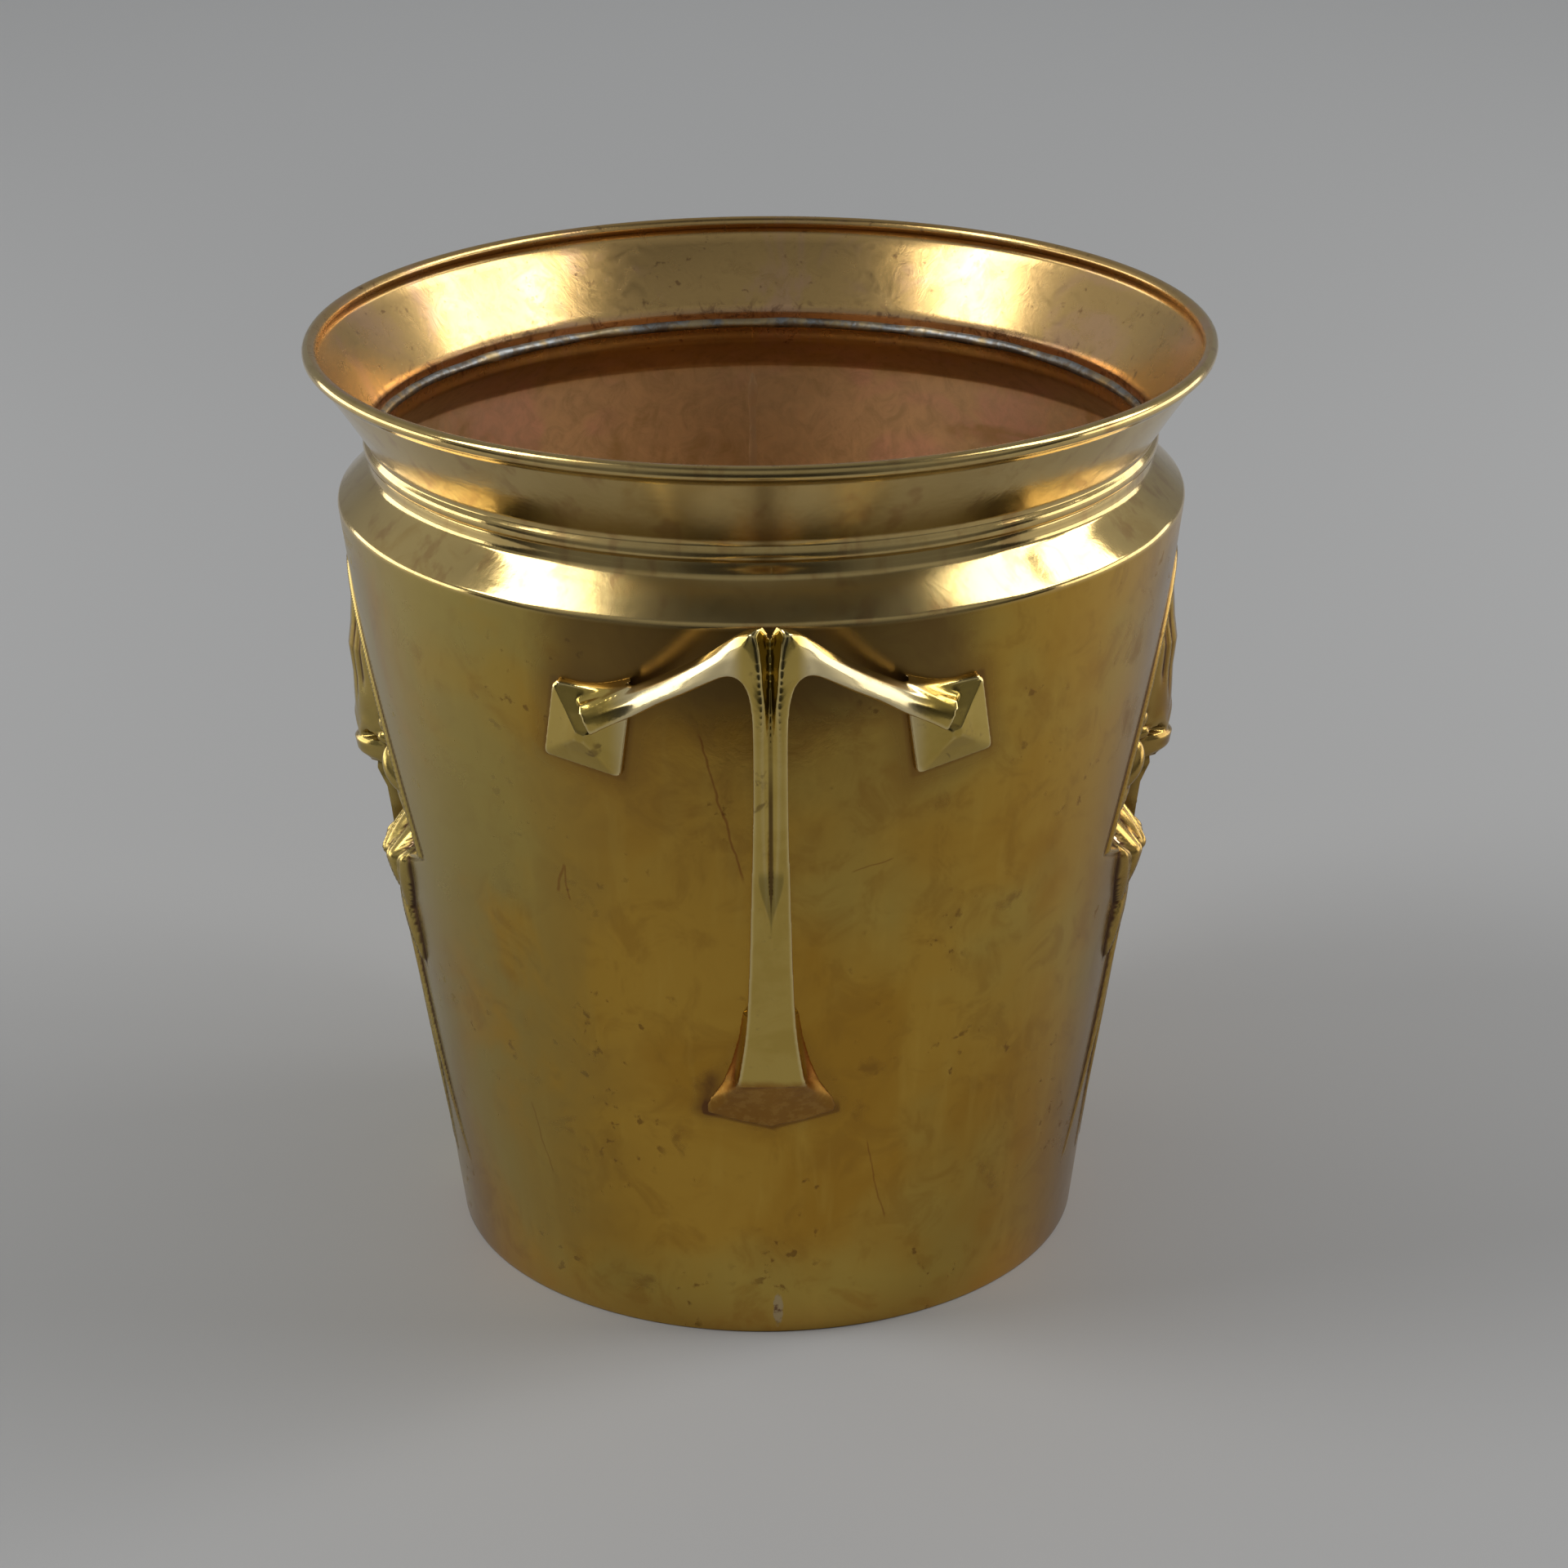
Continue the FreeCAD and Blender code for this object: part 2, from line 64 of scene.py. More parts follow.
BEAD = 1.9
RIM_RADIUS = cad("collar")[1][0] - BEAD
RIM_HEIGHT = 0.5 * (WIRE_LOW[2] + WIRE_HIGH[2])
SHOULDER_RADIUS = POT_HIGH[0]
SHOULDER_HEIGHT = 210.3
BASE_RADIUS = 86.5
NECK_RADIUS = cad("neck_solder")[1][0]
NECK_HEIGHT = 219.6
NECK_TOP = POT_HIGH[2]
METAL = 0.8
SEAM_TURN = 1.6
HANDLE_TURN = 1
SLOPE = (SHOULDER_RADIUS - BASE_RADIUS) / SHOULDER_HEIGHT
WALL_ANGLE = math.atan(SLOPE)
SOLDER_BED = 0.25
RING_COLUMNS = 480


def wall(z):
    """Outer radius of the wall cone at a height."""
    return BASE_RADIUS + SLOPE * z


def inner_wall(z):
    return wall(z) - METAL / math.cos(WALL_ANGLE)


# ---------------- mesh helpers

SHARP = 72


def shown(name, data):
    """New object in the scene, made from a mesh, light or camera."""
    thing = bpy.data.objects.new(name, data)
    bpy.context.scene.collection.objects.link(thing)
    return thing


def spun(points, degrees):
    """Points turned about the pot's axis."""
    turn = math.radians(degrees)
    rotation = np.array([[math.cos(turn), -math.sin(turn), 0], [math.sin(turn), math.cos(turn), 0], [0, 0, 1]])
    return np.array(points) @ rotation.T


def vectors(mesh, field):
    """The places ("co") or normals ("normal") of a mesh's points."""
    flat = np.empty(len(mesh.vertices) * 3)
    mesh.vertices.foreach_get(field, flat)
    return flat.reshape(-1, 3)


def new_piece(name, points, faces, materials, face_slots=None):
    """Smooth-shaded object from points in millimetres."""
    mesh = bpy.data.meshes.new(name)
    mesh.from_pydata((np.asarray(points, dtype=float) * MM).tolist(), [], faces)
    for material in materials:
        mesh.materials.append(material)
    if face_slots is not None:
        mesh.polygons.foreach_set("material_index", np.asarray(face_slots, dtype=np.int32))
    mesh.polygons.foreach_set("use_smooth", [True] * len(mesh.polygons))
    mesh.set_sharp_from_angle(angle=math.radians(SHARP))
    return shown(name, mesh)


def paint(piece, name, values):
    """Stores one number per point for the materials, between 0 and 1."""
    layer = piece.data.attributes.new(name, "FLOAT", "POINT")
    layer.data.foreach_set("value", np.clip(values, 0, 1).astype(np.float32))


def grid_faces(rows, columns, wrap_rows=False, wrap_columns=False, flip=False):
    """Quads of a grid whose point (i, j) has the index i * columns + j."""
    i = np.arange(rows if wrap_rows else rows - 1)[:, None]
    j = np.arange(columns if wrap_columns else columns - 1)[None, :]
    i2 = (i + 1) % rows
    j2 = (j + 1) % columns
    corners = [i * columns + j, i * columns + j2, i2 * columns + j2, i2 * columns + j]
    if flip:
        corners.reverse()
    return np.stack([c.ravel() for c in corners], axis=1).tolist()


def arc(centre, radius, first, last, steps):
    """Points on a circle in a profile plane, angles in degrees."""
    return [(centre[0] + radius * math.cos(math.radians(a)), centre[1] + radius * math.sin(math.radians(a)))
            for a in np.linspace(first, last, steps)]


def waves(seed, count, low, high, most=9):
    """A smooth random field of azimuth and height: amplitude about 1."""
    random = np.random.default_rng(seed)
    around = random.integers(1, most, count)
    upward = random.uniform(low, high, count)
    phase = random.uniform(0, 2 * math.pi, (2, count))
    size = random.uniform(0.5, 1, count)

    def field(azimuth, z):
        total = np.zeros(np.broadcast(azimuth, z).shape)
        for n in range(count):
            swing = np.sin(around[n] * azimuth + phase[0, n])
            total = total + size[n] * swing * np.sin(upward[n] * z + phase[1, n])
        return total / math.sqrt(count)

    return field


def revolve(name, profile, materials, slots, wobble):
    """Closed ring from a closed profile of (radius, height) points, listed anticlockwise."""
    profile = np.array(profile)
    azimuth = np.linspace(0, 2 * math.pi, RING_COLUMNS, endpoint=False)
    radius = np.repeat(profile[:, 0][:, None], RING_COLUMNS, axis=1)
    height = np.repeat(profile[:, 1][:, None], RING_COLUMNS, axis=1)
    d_radius, d_height = wobble(azimuth[None, :], height)
    radius = radius + d_radius
    height = height + d_height
    points = np.stack([radius * np.cos(azimuth), radius * np.sin(azimuth), height], axis=2).reshape(-1, 3)
    faces = grid_faces(len(profile), RING_COLUMNS, wrap_rows=True, wrap_columns=True, flip=True)
    face_slots = None if slots is None else np.repeat(slots, RING_COLUMNS)
    return new_piece(name, points, faces, materials, face_slots)


# ---------------- material nodes

class Field:
    """A number that varies over a surface; arithmetic on it adds Math nodes to its tree."""

    def __init__(self, tree, socket):
        self.tree = tree
        self.socket = socket

    def math(self, operation, *others):
        node = self.tree.nodes.new("ShaderNodeMath")
        node.operation = operation
        for n, item in enumerate((self,) + others):
            if isinstance(item, Field):
                self.tree.links.new(item.socket, node.inputs[n])
            else:
                node.inputs[n].default_value = item
        return Field(self.tree, node.outputs[0])

    __add__ = partialmethod(math, "ADD")
    __sub__ = partialmethod(math, "SUBTRACT")
    __mul__ = partialmethod(math, "MULTIPLY")
    __truediv__ = partialmethod(math, "DIVIDE")
    abs = partialmethod(math, "ABSOLUTE")
    least = partialmethod(math, "MINIMUM")
    most = partialmethod(math, "MAXIMUM")
    root = partialmethod(math, "SQRT")

    def squared(self):
        return self * self

    def ramp(self, low, high, bottom=0, top=1):
        """Smooth step from bottom at low to top at high; low may be above high."""
        node = self.tree.nodes.new("ShaderNodeMapRange")
        node.interpolation_type = "SMOOTHSTEP"
        self.tree.links.new(self.socket, node.inputs["Value"])
        if low > high:
            low, high, bottom, top = high, low, top, bottom
        for socket, number in zip(("From Min", "From Max", "To Min", "To Max"), (low, high, bottom, top)):
            node.inputs[socket].default_value = number
        return Field(self.tree, node.outputs["Result"])


def fields(tree, vector):
    """The three parts of a vector socket."""
    split = tree.nodes.new("ShaderNodeSeparateXYZ")
    tree.links.new(vector, split.inputs[0])
    return [Field(tree, part) for part in split.outputs]


class Finish:
    """A metal material under construction, with its coordinates in millimetres."""

    def __init__(self, name, colour, roughness):
        self.material = bpy.data.materials.new(name)
        self.material.use_nodes = True
        self.tree = self.material.node_tree
        self.link = self.tree.links.new
        self.shader = self.tree.nodes["Principled BSDF"]
        self.shader.inputs["Metallic"].default_value = 1
        self.colour = colour
        self.roughness = self.constant(roughness)
        self.bumps = []
        place = self.node("TexCoord")
        scaled = self.node("VectorMath")
        scaled.operation = "SCALE"
        scaled.inputs["Scale"].default_value = 1 / MM
        self.link(place.outputs["Object"], scaled.inputs[0])
        self.place = scaled.outputs[0]
        self.x, self.y, self.z = fields(self.tree, self.place)

    def node(self, kind):
        return self.tree.nodes.new("ShaderNode" + kind)

    def constant(self, number):
        node = self.node("Value")
        node.outputs[0].default_value = number
        return Field(self.tree, node.outputs[0])

    def noise(self, size, detail=3, rough=0.55, twist=0, stretch=(1, 1, 1), shift=0):
        """Noise between about 0.25 and 0.75, with features of a size in millimetres."""
        node = self.node("TexNoise")
        mapping = self.node("Mapping")
        mapping.inputs["Scale"].default_value = [1 / (size * k) for k in stretch]
        mapping.inputs["Location"].default_value = (shift, shift * 0.7, -shift)
        self.link(self.place, mapping.inputs["Vector"])
        self.link(mapping.outputs[0], node.inputs["Vector"])
        node.inputs["Scale"].default_value = 1
        node.inputs["Detail"].default_value = detail
        node.inputs["Roughness"].default_value = rough
        node.inputs["Distortion"].default_value = twist
        return Field(self.tree, node.outputs["Fac"])

    def mix(self, amount, colour):
        """Lays a colour over the base colour so far."""
        node = self.node("Mix")
        node.data_type = "RGBA"
        self.link(amount.socket, node.inputs["Factor"])
        if isinstance(self.colour, tuple):
            node.inputs[6].default_value = (*self.colour, 1)
        else:
            self.link(self.colour, node.inputs[6])
        node.inputs[7].default_value = (*colour, 1)
        self.colour = node.outputs[2]

    def coat(self, field, low, high, amount, colour):
        """Lays a colour where a field lies past low, at its full amount from high on."""
        self.mix(field.ramp(low, high) * amount, colour)

    def attribute(self, name):
        node = self.node("Attribute")
        node.attribute_name = name
        return Field(self.tree, node.outputs["Fac"])

    def bump(self, height, depth):
        """Adds a bump whose height field spans about one, depth in millimetres."""
        node = self.node("Bump")
        node.inputs["Strength"].default_value = 1
        node.inputs["Distance"].default_value = depth * MM
        self.link(height.socket, node.inputs["Height"])
        if self.bumps:
            self.link(self.bumps[-1].outputs[0], node.inputs["Normal"])
        self.bumps.append(node)

    def done(self):
        self.link(self.colour, self.shader.inputs["Base Color"])
        self.link(self.roughness.socket, self.shader.inputs["Roughness"])
        if self.bumps:
            self.link(self.bumps[-1].outputs[0], self.shader.inputs["Normal"])
        return self.material


PAD_PLACE = (44.65, 99.8, 179.3)
PAD_HALF = 10.6
PAD_TWIST = 11
FOOT_TIP = 65.6


HANDLE_SPIN = math.radians(HANDLE_TURN)


def from_handle_line(finish):
    """Distance in millimetres from the handles' middle plane."""
    return (finish.x * math.cos(HANDLE_SPIN) + finish.y * math.sin(HANDLE_SPIN)).abs()


def near_handle(finish):
    """Distance in millimetres, along the wall, outside the outline of the nearest pad or foot."""
    across = from_handle_line(finish)
    ahead = (finish.y * math.cos(HANDLE_SPIN) - finish.x * math.sin(HANDLE_SPIN)).abs()
    turn = math.atan2(PAD_PLACE[0], PAD_PLACE[1])
    sideways = (across - PAD_PLACE[0]) * math.cos(turn) - (ahead - PAD_PLACE[1]) * math.sin(turn)
    upward = finish.z - PAD_PLACE[2]
    twist = math.radians(PAD_TWIST)
    u = (sideways * math.cos(twist) + upward * math.sin(twist)).abs() - PAD_HALF
    v = (upward * math.cos(twist) - sideways * math.sin(twist)).abs() - PAD_HALF
    pad = (u.most(0).squared() + v.most(0).squared()).root()
    beside = across - finish.z.ramp(70.5, 97, 17.2, 6.6)
    under = across * 0.24 - finish.z + FOOT_TIP
    foot = (beside.most(0).squared() + under.most(0).squared()).root() + finish.z.ramp(92, 102) * 9
    far = ahead.ramp(60, 50) * 100
    return pad + far, foot + far


def scratch(finish, start, end, width):
    """Thin line on the front wall between two (sideways, height) places."""
    dx, dz = end[0] - start[0], end[1] - start[1]
    length = math.hypot(dx, dz)
    u = (finish.x - start[0]) * (dx / length) + (finish.z - start[1]) * (dz / length)
    wobble = (finish.noise(9, 2, shift=start[0]) - 0.5) * 2.5
    v = ((finish.x - start[0]) * (-dz / length) + (finish.z - start[1]) * (dx / length) + wobble).abs()
    ends = u.ramp(0, 0.08 * length) * u.ramp(length, 0.92 * length)
    return v.ramp(width, 0.3 * width) * ends * finish.y.ramp(-60, -75)


def aged_brass(name):
    """Outside of the sheet: olive gold, brown bloom, streaks, specks and handle stains, with painted
    reflections round the pads and on the -X side, and painted shade under the foot and under the shoulder.
    """
    f = Finish(name, (0.53, 0.31, 0.048), 0.2)
    broad = f.noise(55, 4, 0.6, 0.6)
    mottle = f.noise(14, 5, 0.65, 0.8, shift=3)
    fine = f.noise(2.2, 4, 0.6, shift=8)
    streaks = f.noise(7, 3, 0.6, 0.2, stretch=(1, 1, 9), shift=5)
    f.coat(broad, 0.4, 0.62, 0.8, (0.45, 0.235, 0.03))
    f.coat(f.noise(80, 3, shift=11), 0.46, 0.62, 0.6, (0.49, 0.37, 0.09))
    f.coat(mottle, 0.48, 0.66, 0.45, (0.37, 0.19, 0.03))
    f.coat(streaks, 0.52, 0.72, 0.25, (0.62, 0.41, 0.08))
    f.mix(f.z.ramp(14, 0) * (mottle * 0.5 + 0.1), (0.5, 0.23, 0.045))
    on_wall = f.z.ramp(208, 204)
    specks = f.noise(3.4, 3, 0.5, shift=21).ramp(0.62, 0.7)
    specks = specks * f.noise(30, 2, shift=29).ramp(0.52, 0.62) * on_wall
    blots = f.noise(19, 4, 0.6, 0.5, shift=33).ramp(0.62, 0.74) * on_wall
    f.mix(specks * 0.6, (0.17, 0.075, 0.02))
    f.mix(blots * 0.5, (0.22, 0.1, 0.025))
    pad, foot = near_handle(f)
    ragged = (mottle - 0.5) * 9
    # Painted reflection: a dark band on the wall along each pad's edge.
    ring = pad.ramp(2.6, 0.2)
    halo = (pad + ragged).ramp(8, 0.5) * 0.35
    left_of_foot = (f.x + 18.5).abs().ramp(9, 3) * (f.z - 76).abs().ramp(10, 4)
    # Stains round the foot, strongest at a spot on its -X side, plus painted shade in a thin line on the wall
    # under the foot's tip.
    foot_stain_and_shade = ((foot + ragged * 1.3 + 2).ramp(8, 0.5) * (left_of_foot * 0.8 + 0.2)
                 + foot.ramp(1, 0.1) * f.z.ramp(75, 70) * 0.5)
    foot_stain_and_shade = foot_stain_and_shade.least(1)
    # Stains round the pads, with the painted reflection band along each pad's edge laid over them.
    f.mix(halo.most(ring * 0.75), (0.16, 0.06, 0.022))
    f.mix(foot_stain_and_shade * 0.85, (0.12, 0.045, 0.025))
    bloom = f.z.ramp(105, 185) * (mottle * 1.2 - 0.1) * f.x.abs().ramp(60, 36, 0.2, 1)
    f.mix(bloom, (0.34, 0.185, 0.04))
    f.mix(f.y.abs().ramp(62, 26) * f.z.ramp(208, 196) * 0.75, (0.23, 0.13, 0.035))
    # Painted reflection: broad paler, greener patches over the -X side of the wall, as if it mirrored a grey
    # backdrop.
    f.mix(f.x.ramp(-20, -80) * broad.ramp(0.36, 0.58) * 0.7, (0.44, 0.35, 0.105))
    shade = f.x.abs().ramp(60, 44) * f.z.ramp(178, 194) * f.y.abs().ramp(60, 75)
    f.mix(shade * 0.7, (0.17, 0.105, 0.04))
    above = f.z.ramp(208.6, 210.6)
    f.mix(above * 0.9, (0.66, 0.485, 0.195))
    f.mix(above * mottle.ramp(0.5, 0.7) * 0.5, (0.5, 0.32, 0.1))
    f.mix(above * streaks.ramp(0.54, 0.7) * 0.45, (0.4, 0.21, 0.08))
    blob = (((f.x - 3) / 1.4).squared() + ((f.z - 7.5) / 5.5).squared() + (fine - 0.5) * 2.4).ramp(1.1, 0.5)
    blob = blob * f.y.ramp(-50, -60)
    f.mix(blob * 0.75, (0.5, 0.4, 0.24))
    f.mix(blob * fine.ramp(0.48, 0.6) * 0.9, (0.18, 0.09, 0.05))
    recess = f.attribute("recess")
    f.coat(recess, 0.05, 0.75, 0.92, (0.075, 0.035, 0.02))
    f.coat(f.attribute("rubbed"), 0.1, 0.8, 0.3, (0.66, 0.47, 0.15))
    marks = f.constant(0)
    for start, end, width, strength in SCRATCHES:
        marks = marks.most(scratch(f, start, end, width) * strength)
    f.mix(marks * 0.55, (0.22, 0.06, 0.02))
    f.roughness = (f.roughness + (mottle - 0.4) * 0.1 + (broad - 0.4) * 0.12 + specks * 0.2 + blots * 0.15
                   + halo * 0.25 + foot_stain_and_shade * 0.22 + recess * 0.35 - above * 0.1 + shade * 0.12)
    f.bump(fine, 0.012)
    f.bump(mottle, 0.05)
    f.bump(f.noise(0.8, 2, 0.5, stretch=(1, 1, 6), shift=2), 0.0025)
    return f.done()


# Start and end (sideways, height), width and strength of each scratch on the front wall.
SCRATCHES = (
    ((-15.8, 182), (-4.6, 138), 0.42, 1),
    ((-50.5, 139), (-52, 130), 0.5, 0.8),
    ((-50.5, 139), (-48.8, 128), 0.4, 0.8),
    ((22, 140.5), (33, 143.5), 0.3, 0.8),
    ((26, 60), (31, 33), 0.3, 0.8),
    ((-62, 62), (-57, 40), 0.25, 0.8),
)


def coppery_brass(name):
    """Inside of the sheet: never polished, pinkish where zinc has gone from the surface."""
    f = Finish(name, (0.63, 0.41, 0.155), 0.22)
    broad = f.noise(34, 4, 0.6, 0.8, shift=41)
    mottle = f.noise(7, 5, 0.7, 1, shift=43)
    f.coat(broad, 0.5, 0.64, 0.6, (0.64, 0.39, 0.24))
    f.coat(mottle, 0.48, 0.68, 0.5, (0.46, 0.29, 0.11))
    f.coat(f.noise(2.5, 3, 0.6, shift=45), 0.62, 0.74, 0.6, (0.2, 0.09, 0.04))
    below = f.z.ramp(222, 205)
    f.mix(below * 0.9, (0.88, 0.66, 0.42))
    pink = f.noise(42, 3, 0.6, 0.6, shift=42).ramp(0.5, 0.62)
    f.mix(below * pink * 0.75, (0.92, 0.58, 0.46))
    f.mix(below * f.noise(60, 4, 0.65, 1, shift=44).ramp(0.44, 0.58) * 0.8, (0.5, 0.34, 0.13))
    f.mix(below * mottle.ramp(0.34, 0.7) * 0.4, (0.44, 0.28, 0.1))
    f.mix((f.z - 226.8).abs().ramp(3.2, 0.6) * 0.4, (0.7, 0.4, 0.3))
    stain = f.noise(5, 4, 0.7, 1.2, shift=47).ramp(0.5, 0.66) * (f.z - 227.5).abs().ramp(5, 0.5)
    f.mix(stain * 0.75, (0.22, 0.11, 0.06))
    f.roughness = f.roughness + (mottle - 0.4) * 0.25 + f.z.ramp(226, 214) * 0.16
    f.bump(mottle, 0.05)
    f.bump(f.noise(1.1, 3, 0.6, shift=49), 0.003)
    return f.done()


def cast_brass(name):
    """Handles: cleaner, paler brass, dull in the corners and worn bright on the edges, with painted shade on
    faces turned to the wall, painted reflections on the foot and in the groove, and a painted highlight on the
    arms.
    """
    f = Finish(name, (0.57, 0.41, 0.105), 0.12)
    broad = f.noise(18, 4, 0.6, 0.5, shift=51)
    fine = f.noise(3, 4, 0.6, shift=53)
    f.coat(broad, 0.44, 0.62, 0.7, (0.5, 0.345, 0.075))
    f.coat(fine, 0.6, 0.74, 0.35, (0.3, 0.19, 0.07))
    f.coat(f.attribute("recess"), 0.15, 0.85, 0.6, (0.52, 0.25, 0.05))
    f.coat(f.attribute("rubbed"), 0.2, 0.8, 0.6, (0.84, 0.68, 0.33))
    # Painted shade: faces turned to the wall are darkened nearly to black, and made rougher.
    back = f.attribute("back")
    f.mix(back * 0.9, (0.1, 0.045, 0.018))
    # Painted reflection: the foot's underside below its front face darkened to orange-brown, with random tone,
    # and made rougher.
    toe = (f.z + (broad - 0.5) * 6).ramp(83.5, 80)
    f.mix(toe * 0.88, (0.3, 0.125, 0.016))
    f.mix(toe * fine.ramp(0.46, 0.62) * 0.6, (0.44, 0.24, 0.05))
    across = from_handle_line(f)
    # Painted reflection: dark red-orange on the foot's sloping sides between its front face and the wall.
    wing_reflection = (across - f.z.ramp(81, 104, 8.9, 6.5)).ramp(0, 0.7)
    wing_reflection = wing_reflection * f.z.ramp(108, 100) * f.z.ramp(79, 83)
    f.mix(wing_reflection * 0.85, (0.5, 0.17, 0.018))
    grooved = f.z.ramp(131, 134)
    # Painted reflection: a dark patch where the groove opens out at its lower end.
    groove_foot_reflection = (across - f.z.ramp(133, 150, 0, 3)).ramp(0.35, -0.25) * f.z.ramp(153, 149)
    crevice = (across - f.z.ramp(132, 150, -0.3, 0.4)).ramp(0.35, -0.1) * f.z.ramp(207, 198)
    f.mix(groove_foot_reflection * grooved * 0.6, (0.22, 0.17, 0.05))
    f.mix(crevice * grooved * f.z.ramp(186, 170, 0.45, 0.85), (0.09, 0.045, 0.015))
    # Painted highlight: the arms and upper stem made pale and bright.
    arm_highlight = across.ramp(6, 10) * across.ramp(40, 33) * f.z.ramp(140, 155)
    f.mix(arm_highlight * 0.65, (0.82, 0.7, 0.44))
    spots = f.noise(6, 3, 0.6, 0.6, shift=57).ramp(0.6, 0.7)
    f.mix(spots * f.z.ramp(186, 178) * f.z.ramp(160, 166) * 0.6, (0.16, 0.09, 0.03))
    f.roughness = f.roughness + (broad - 0.4) * 0.16 + fine.ramp(0.6, 0.74) * 0.12 + back * 0.3 + toe * 0.22
    f.bump(fine, 0.01)
    f.bump(f.noise(0.7, 2, 0.5, shift=55), 0.002)
    return f.done()


def tin_solder(name, tarnish):
    """Grey solder with dark flux residue, toned brown like the brass beside it by tarnish."""
    f = Finish(name, (0.25, 0.26, 0.26), 0.4)
    patches = f.noise(3, 4, 0.7, 0.6, shift=61)
    f.coat(patches, 0.42, 0.6, 0.85, (0.17, 0.13, 0.09))
    f.coat(f.noise(9, 3, shift=63), 0.48, 0.62, 0.7, (0.46, 0.34, 0.16))
    f.mix(f.constant(tarnish), (0.76, 0.56, 0.35))
    f.roughness = f.roughness + (patches - 0.4) * 0.3
    f.bump(patches, 0.12)
    return f.done()


def drawn_wire(name):
    """Iron wire with a brown film of rust, closed inside the rolled rim."""
    f = Finish(name, (0.33, 0.32, 0.3), 0.42)
    rust = f.noise(4, 4, 0.7, 0.5, shift=71)
    f.coat(rust, 0.45, 0.62, 0.8, (0.2, 0.09, 0.04))
    f.roughness = f.roughness + (rust - 0.4) * 0.4
    f.bump(rust, 0.03)
    return f.done()


outer_brass = aged_brass("outer_brass")
inner_brass = coppery_brass("inner_brass")
handle_brass = cast_brass("handle_brass")
solder = tin_solder("tin_solder", 0)
wiped_solder = tin_solder("wiped_solder", 0.9)


# ---------------- relief on each half

PANEL_TILT = 0.28
PANEL_MIDDLE = (91.3, 124.5)
PANEL_FOOT = 121
PANEL_RAMP = (104.5, 104.5)


def smooth_min(a, b, k):
    gap = np.maximum(k - np.abs(a - b), 0) / k
    return np.minimum(a, b) - gap * gap * k * 0.25


def smooth_step(low, high, value):
    t = np.clip((value - low) / (high - low), 0, 1)
    return t * t * (3 - 2 * t)


def panel_reach(z):
    """Reach of the flat panel, then of the ramp that returns to the wall under it."""
    flat = PANEL_MIDDLE[0] + PANEL_TILT * (z - PANEL_MIDDLE[1])
    foot = PANEL_MIDDLE[0] + PANEL_TILT * (PANEL_FOOT - PANEL_MIDDLE[1])
    ramp = foot + (PANEL_FOOT - z) * (PANEL_RAMP[0] - foot) / (PANEL_FOOT - PANEL_RAMP[1])
    return np.maximum(flat, ramp)


def dome(y, z, centre, size, lean, height):
    """Rounded boss: zero outside an ellipse, steep at its edge."""
    turn = math.radians(lean)
    u = (y - centre[0]) * math.cos(turn) + (z - centre[1]) * math.sin(turn)
    v = -(y - centre[0]) * math.sin(turn) + (z - centre[1]) * math.cos(turn)
    inside = np.maximum(1 - (u / size[0]) ** 2 - (v / size[1]) ** 2, 0)
    return height * inside ** 0.5


def leaf(y, z, base, tip, width, height, bend=0):
    """Pointed leaf from base to tip: crowned across, with a crease along its middle."""
    base = np.array(base, dtype=float)
    tip = np.array(tip, dtype=float)
    length = np.linalg.norm(tip - base)
    along = (tip - base) / length
    t = ((y - base[0]) * along[0] + (z - base[1]) * along[1]) / length
    side = -(y - base[0]) * along[1] + (z - base[1]) * along[0]
    side = side - bend * np.sin(math.pi * np.clip(t, 0, 1))
    inside = (t > 0) & (t < 1)
    t = np.clip(t, 0, 1)
    half = width * np.sin(math.pi * t ** 0.8) ** 0.75 + 1e-6
    across = np.clip(1 - (side / half) ** 2, 0, 1)
    fold = 1 - 0.35 * np.exp(-(side / (0.16 * width)) ** 2)
    return np.where(inside, height * across ** 0.4 * fold * np.sin(math.pi * (0.12 + 0.8 * t)) ** 0.5, 0)


def strand(y, z, points, radius, height):
    """Rounded ridge along a line of points, tapering from the first to the last."""
    points = np.array(points, dtype=float)
    best = np.full(y.shape, 0.0)
    count = len(points) - 1
    for n in range(count):
        a, b = points[n], points[n + 1]
        step = b - a
        t = np.clip(((y - a[0]) * step[0] + (z - a[1]) * step[1]) / (step @ step), 0, 1)
        distance = np.hypot(y - a[0] - t * step[0], z - a[1] - t * step[1])
        place = (n + t) / count
        r = radius[0] + (radius[1] - radius[0]) * place
        h = height[0] + (height[1] - height[0]) * place
        best = np.maximum(best, h * np.sqrt(np.maximum(1 - (distance / r) ** 2, 0)))
    return best


# Reach of the flower along the panel's middle line, from its tip down to the lip.
FLOWER_SIDE = ((190, 109.4), (184, 110.9), (172, 111.6), (166, 112.4), (158, 111.5),
               (150, 111.4), (145, 111.2), (141.5, 110.8))
LIP_SIDE = ((141, 109.5), (138.5, 111.8), (135.2, 111.2), (133, 108))
HEART_SIDE = ((136, 105.5), (130, 106), (124.5, 103.6), (118, 102.7), (108, 101.6))


def along_side(z, side):
    heights = [p[0] for p in side][::-1]
    reaches = [p[1] for p in side][::-1]
    return np.interp(z, heights, reaches)


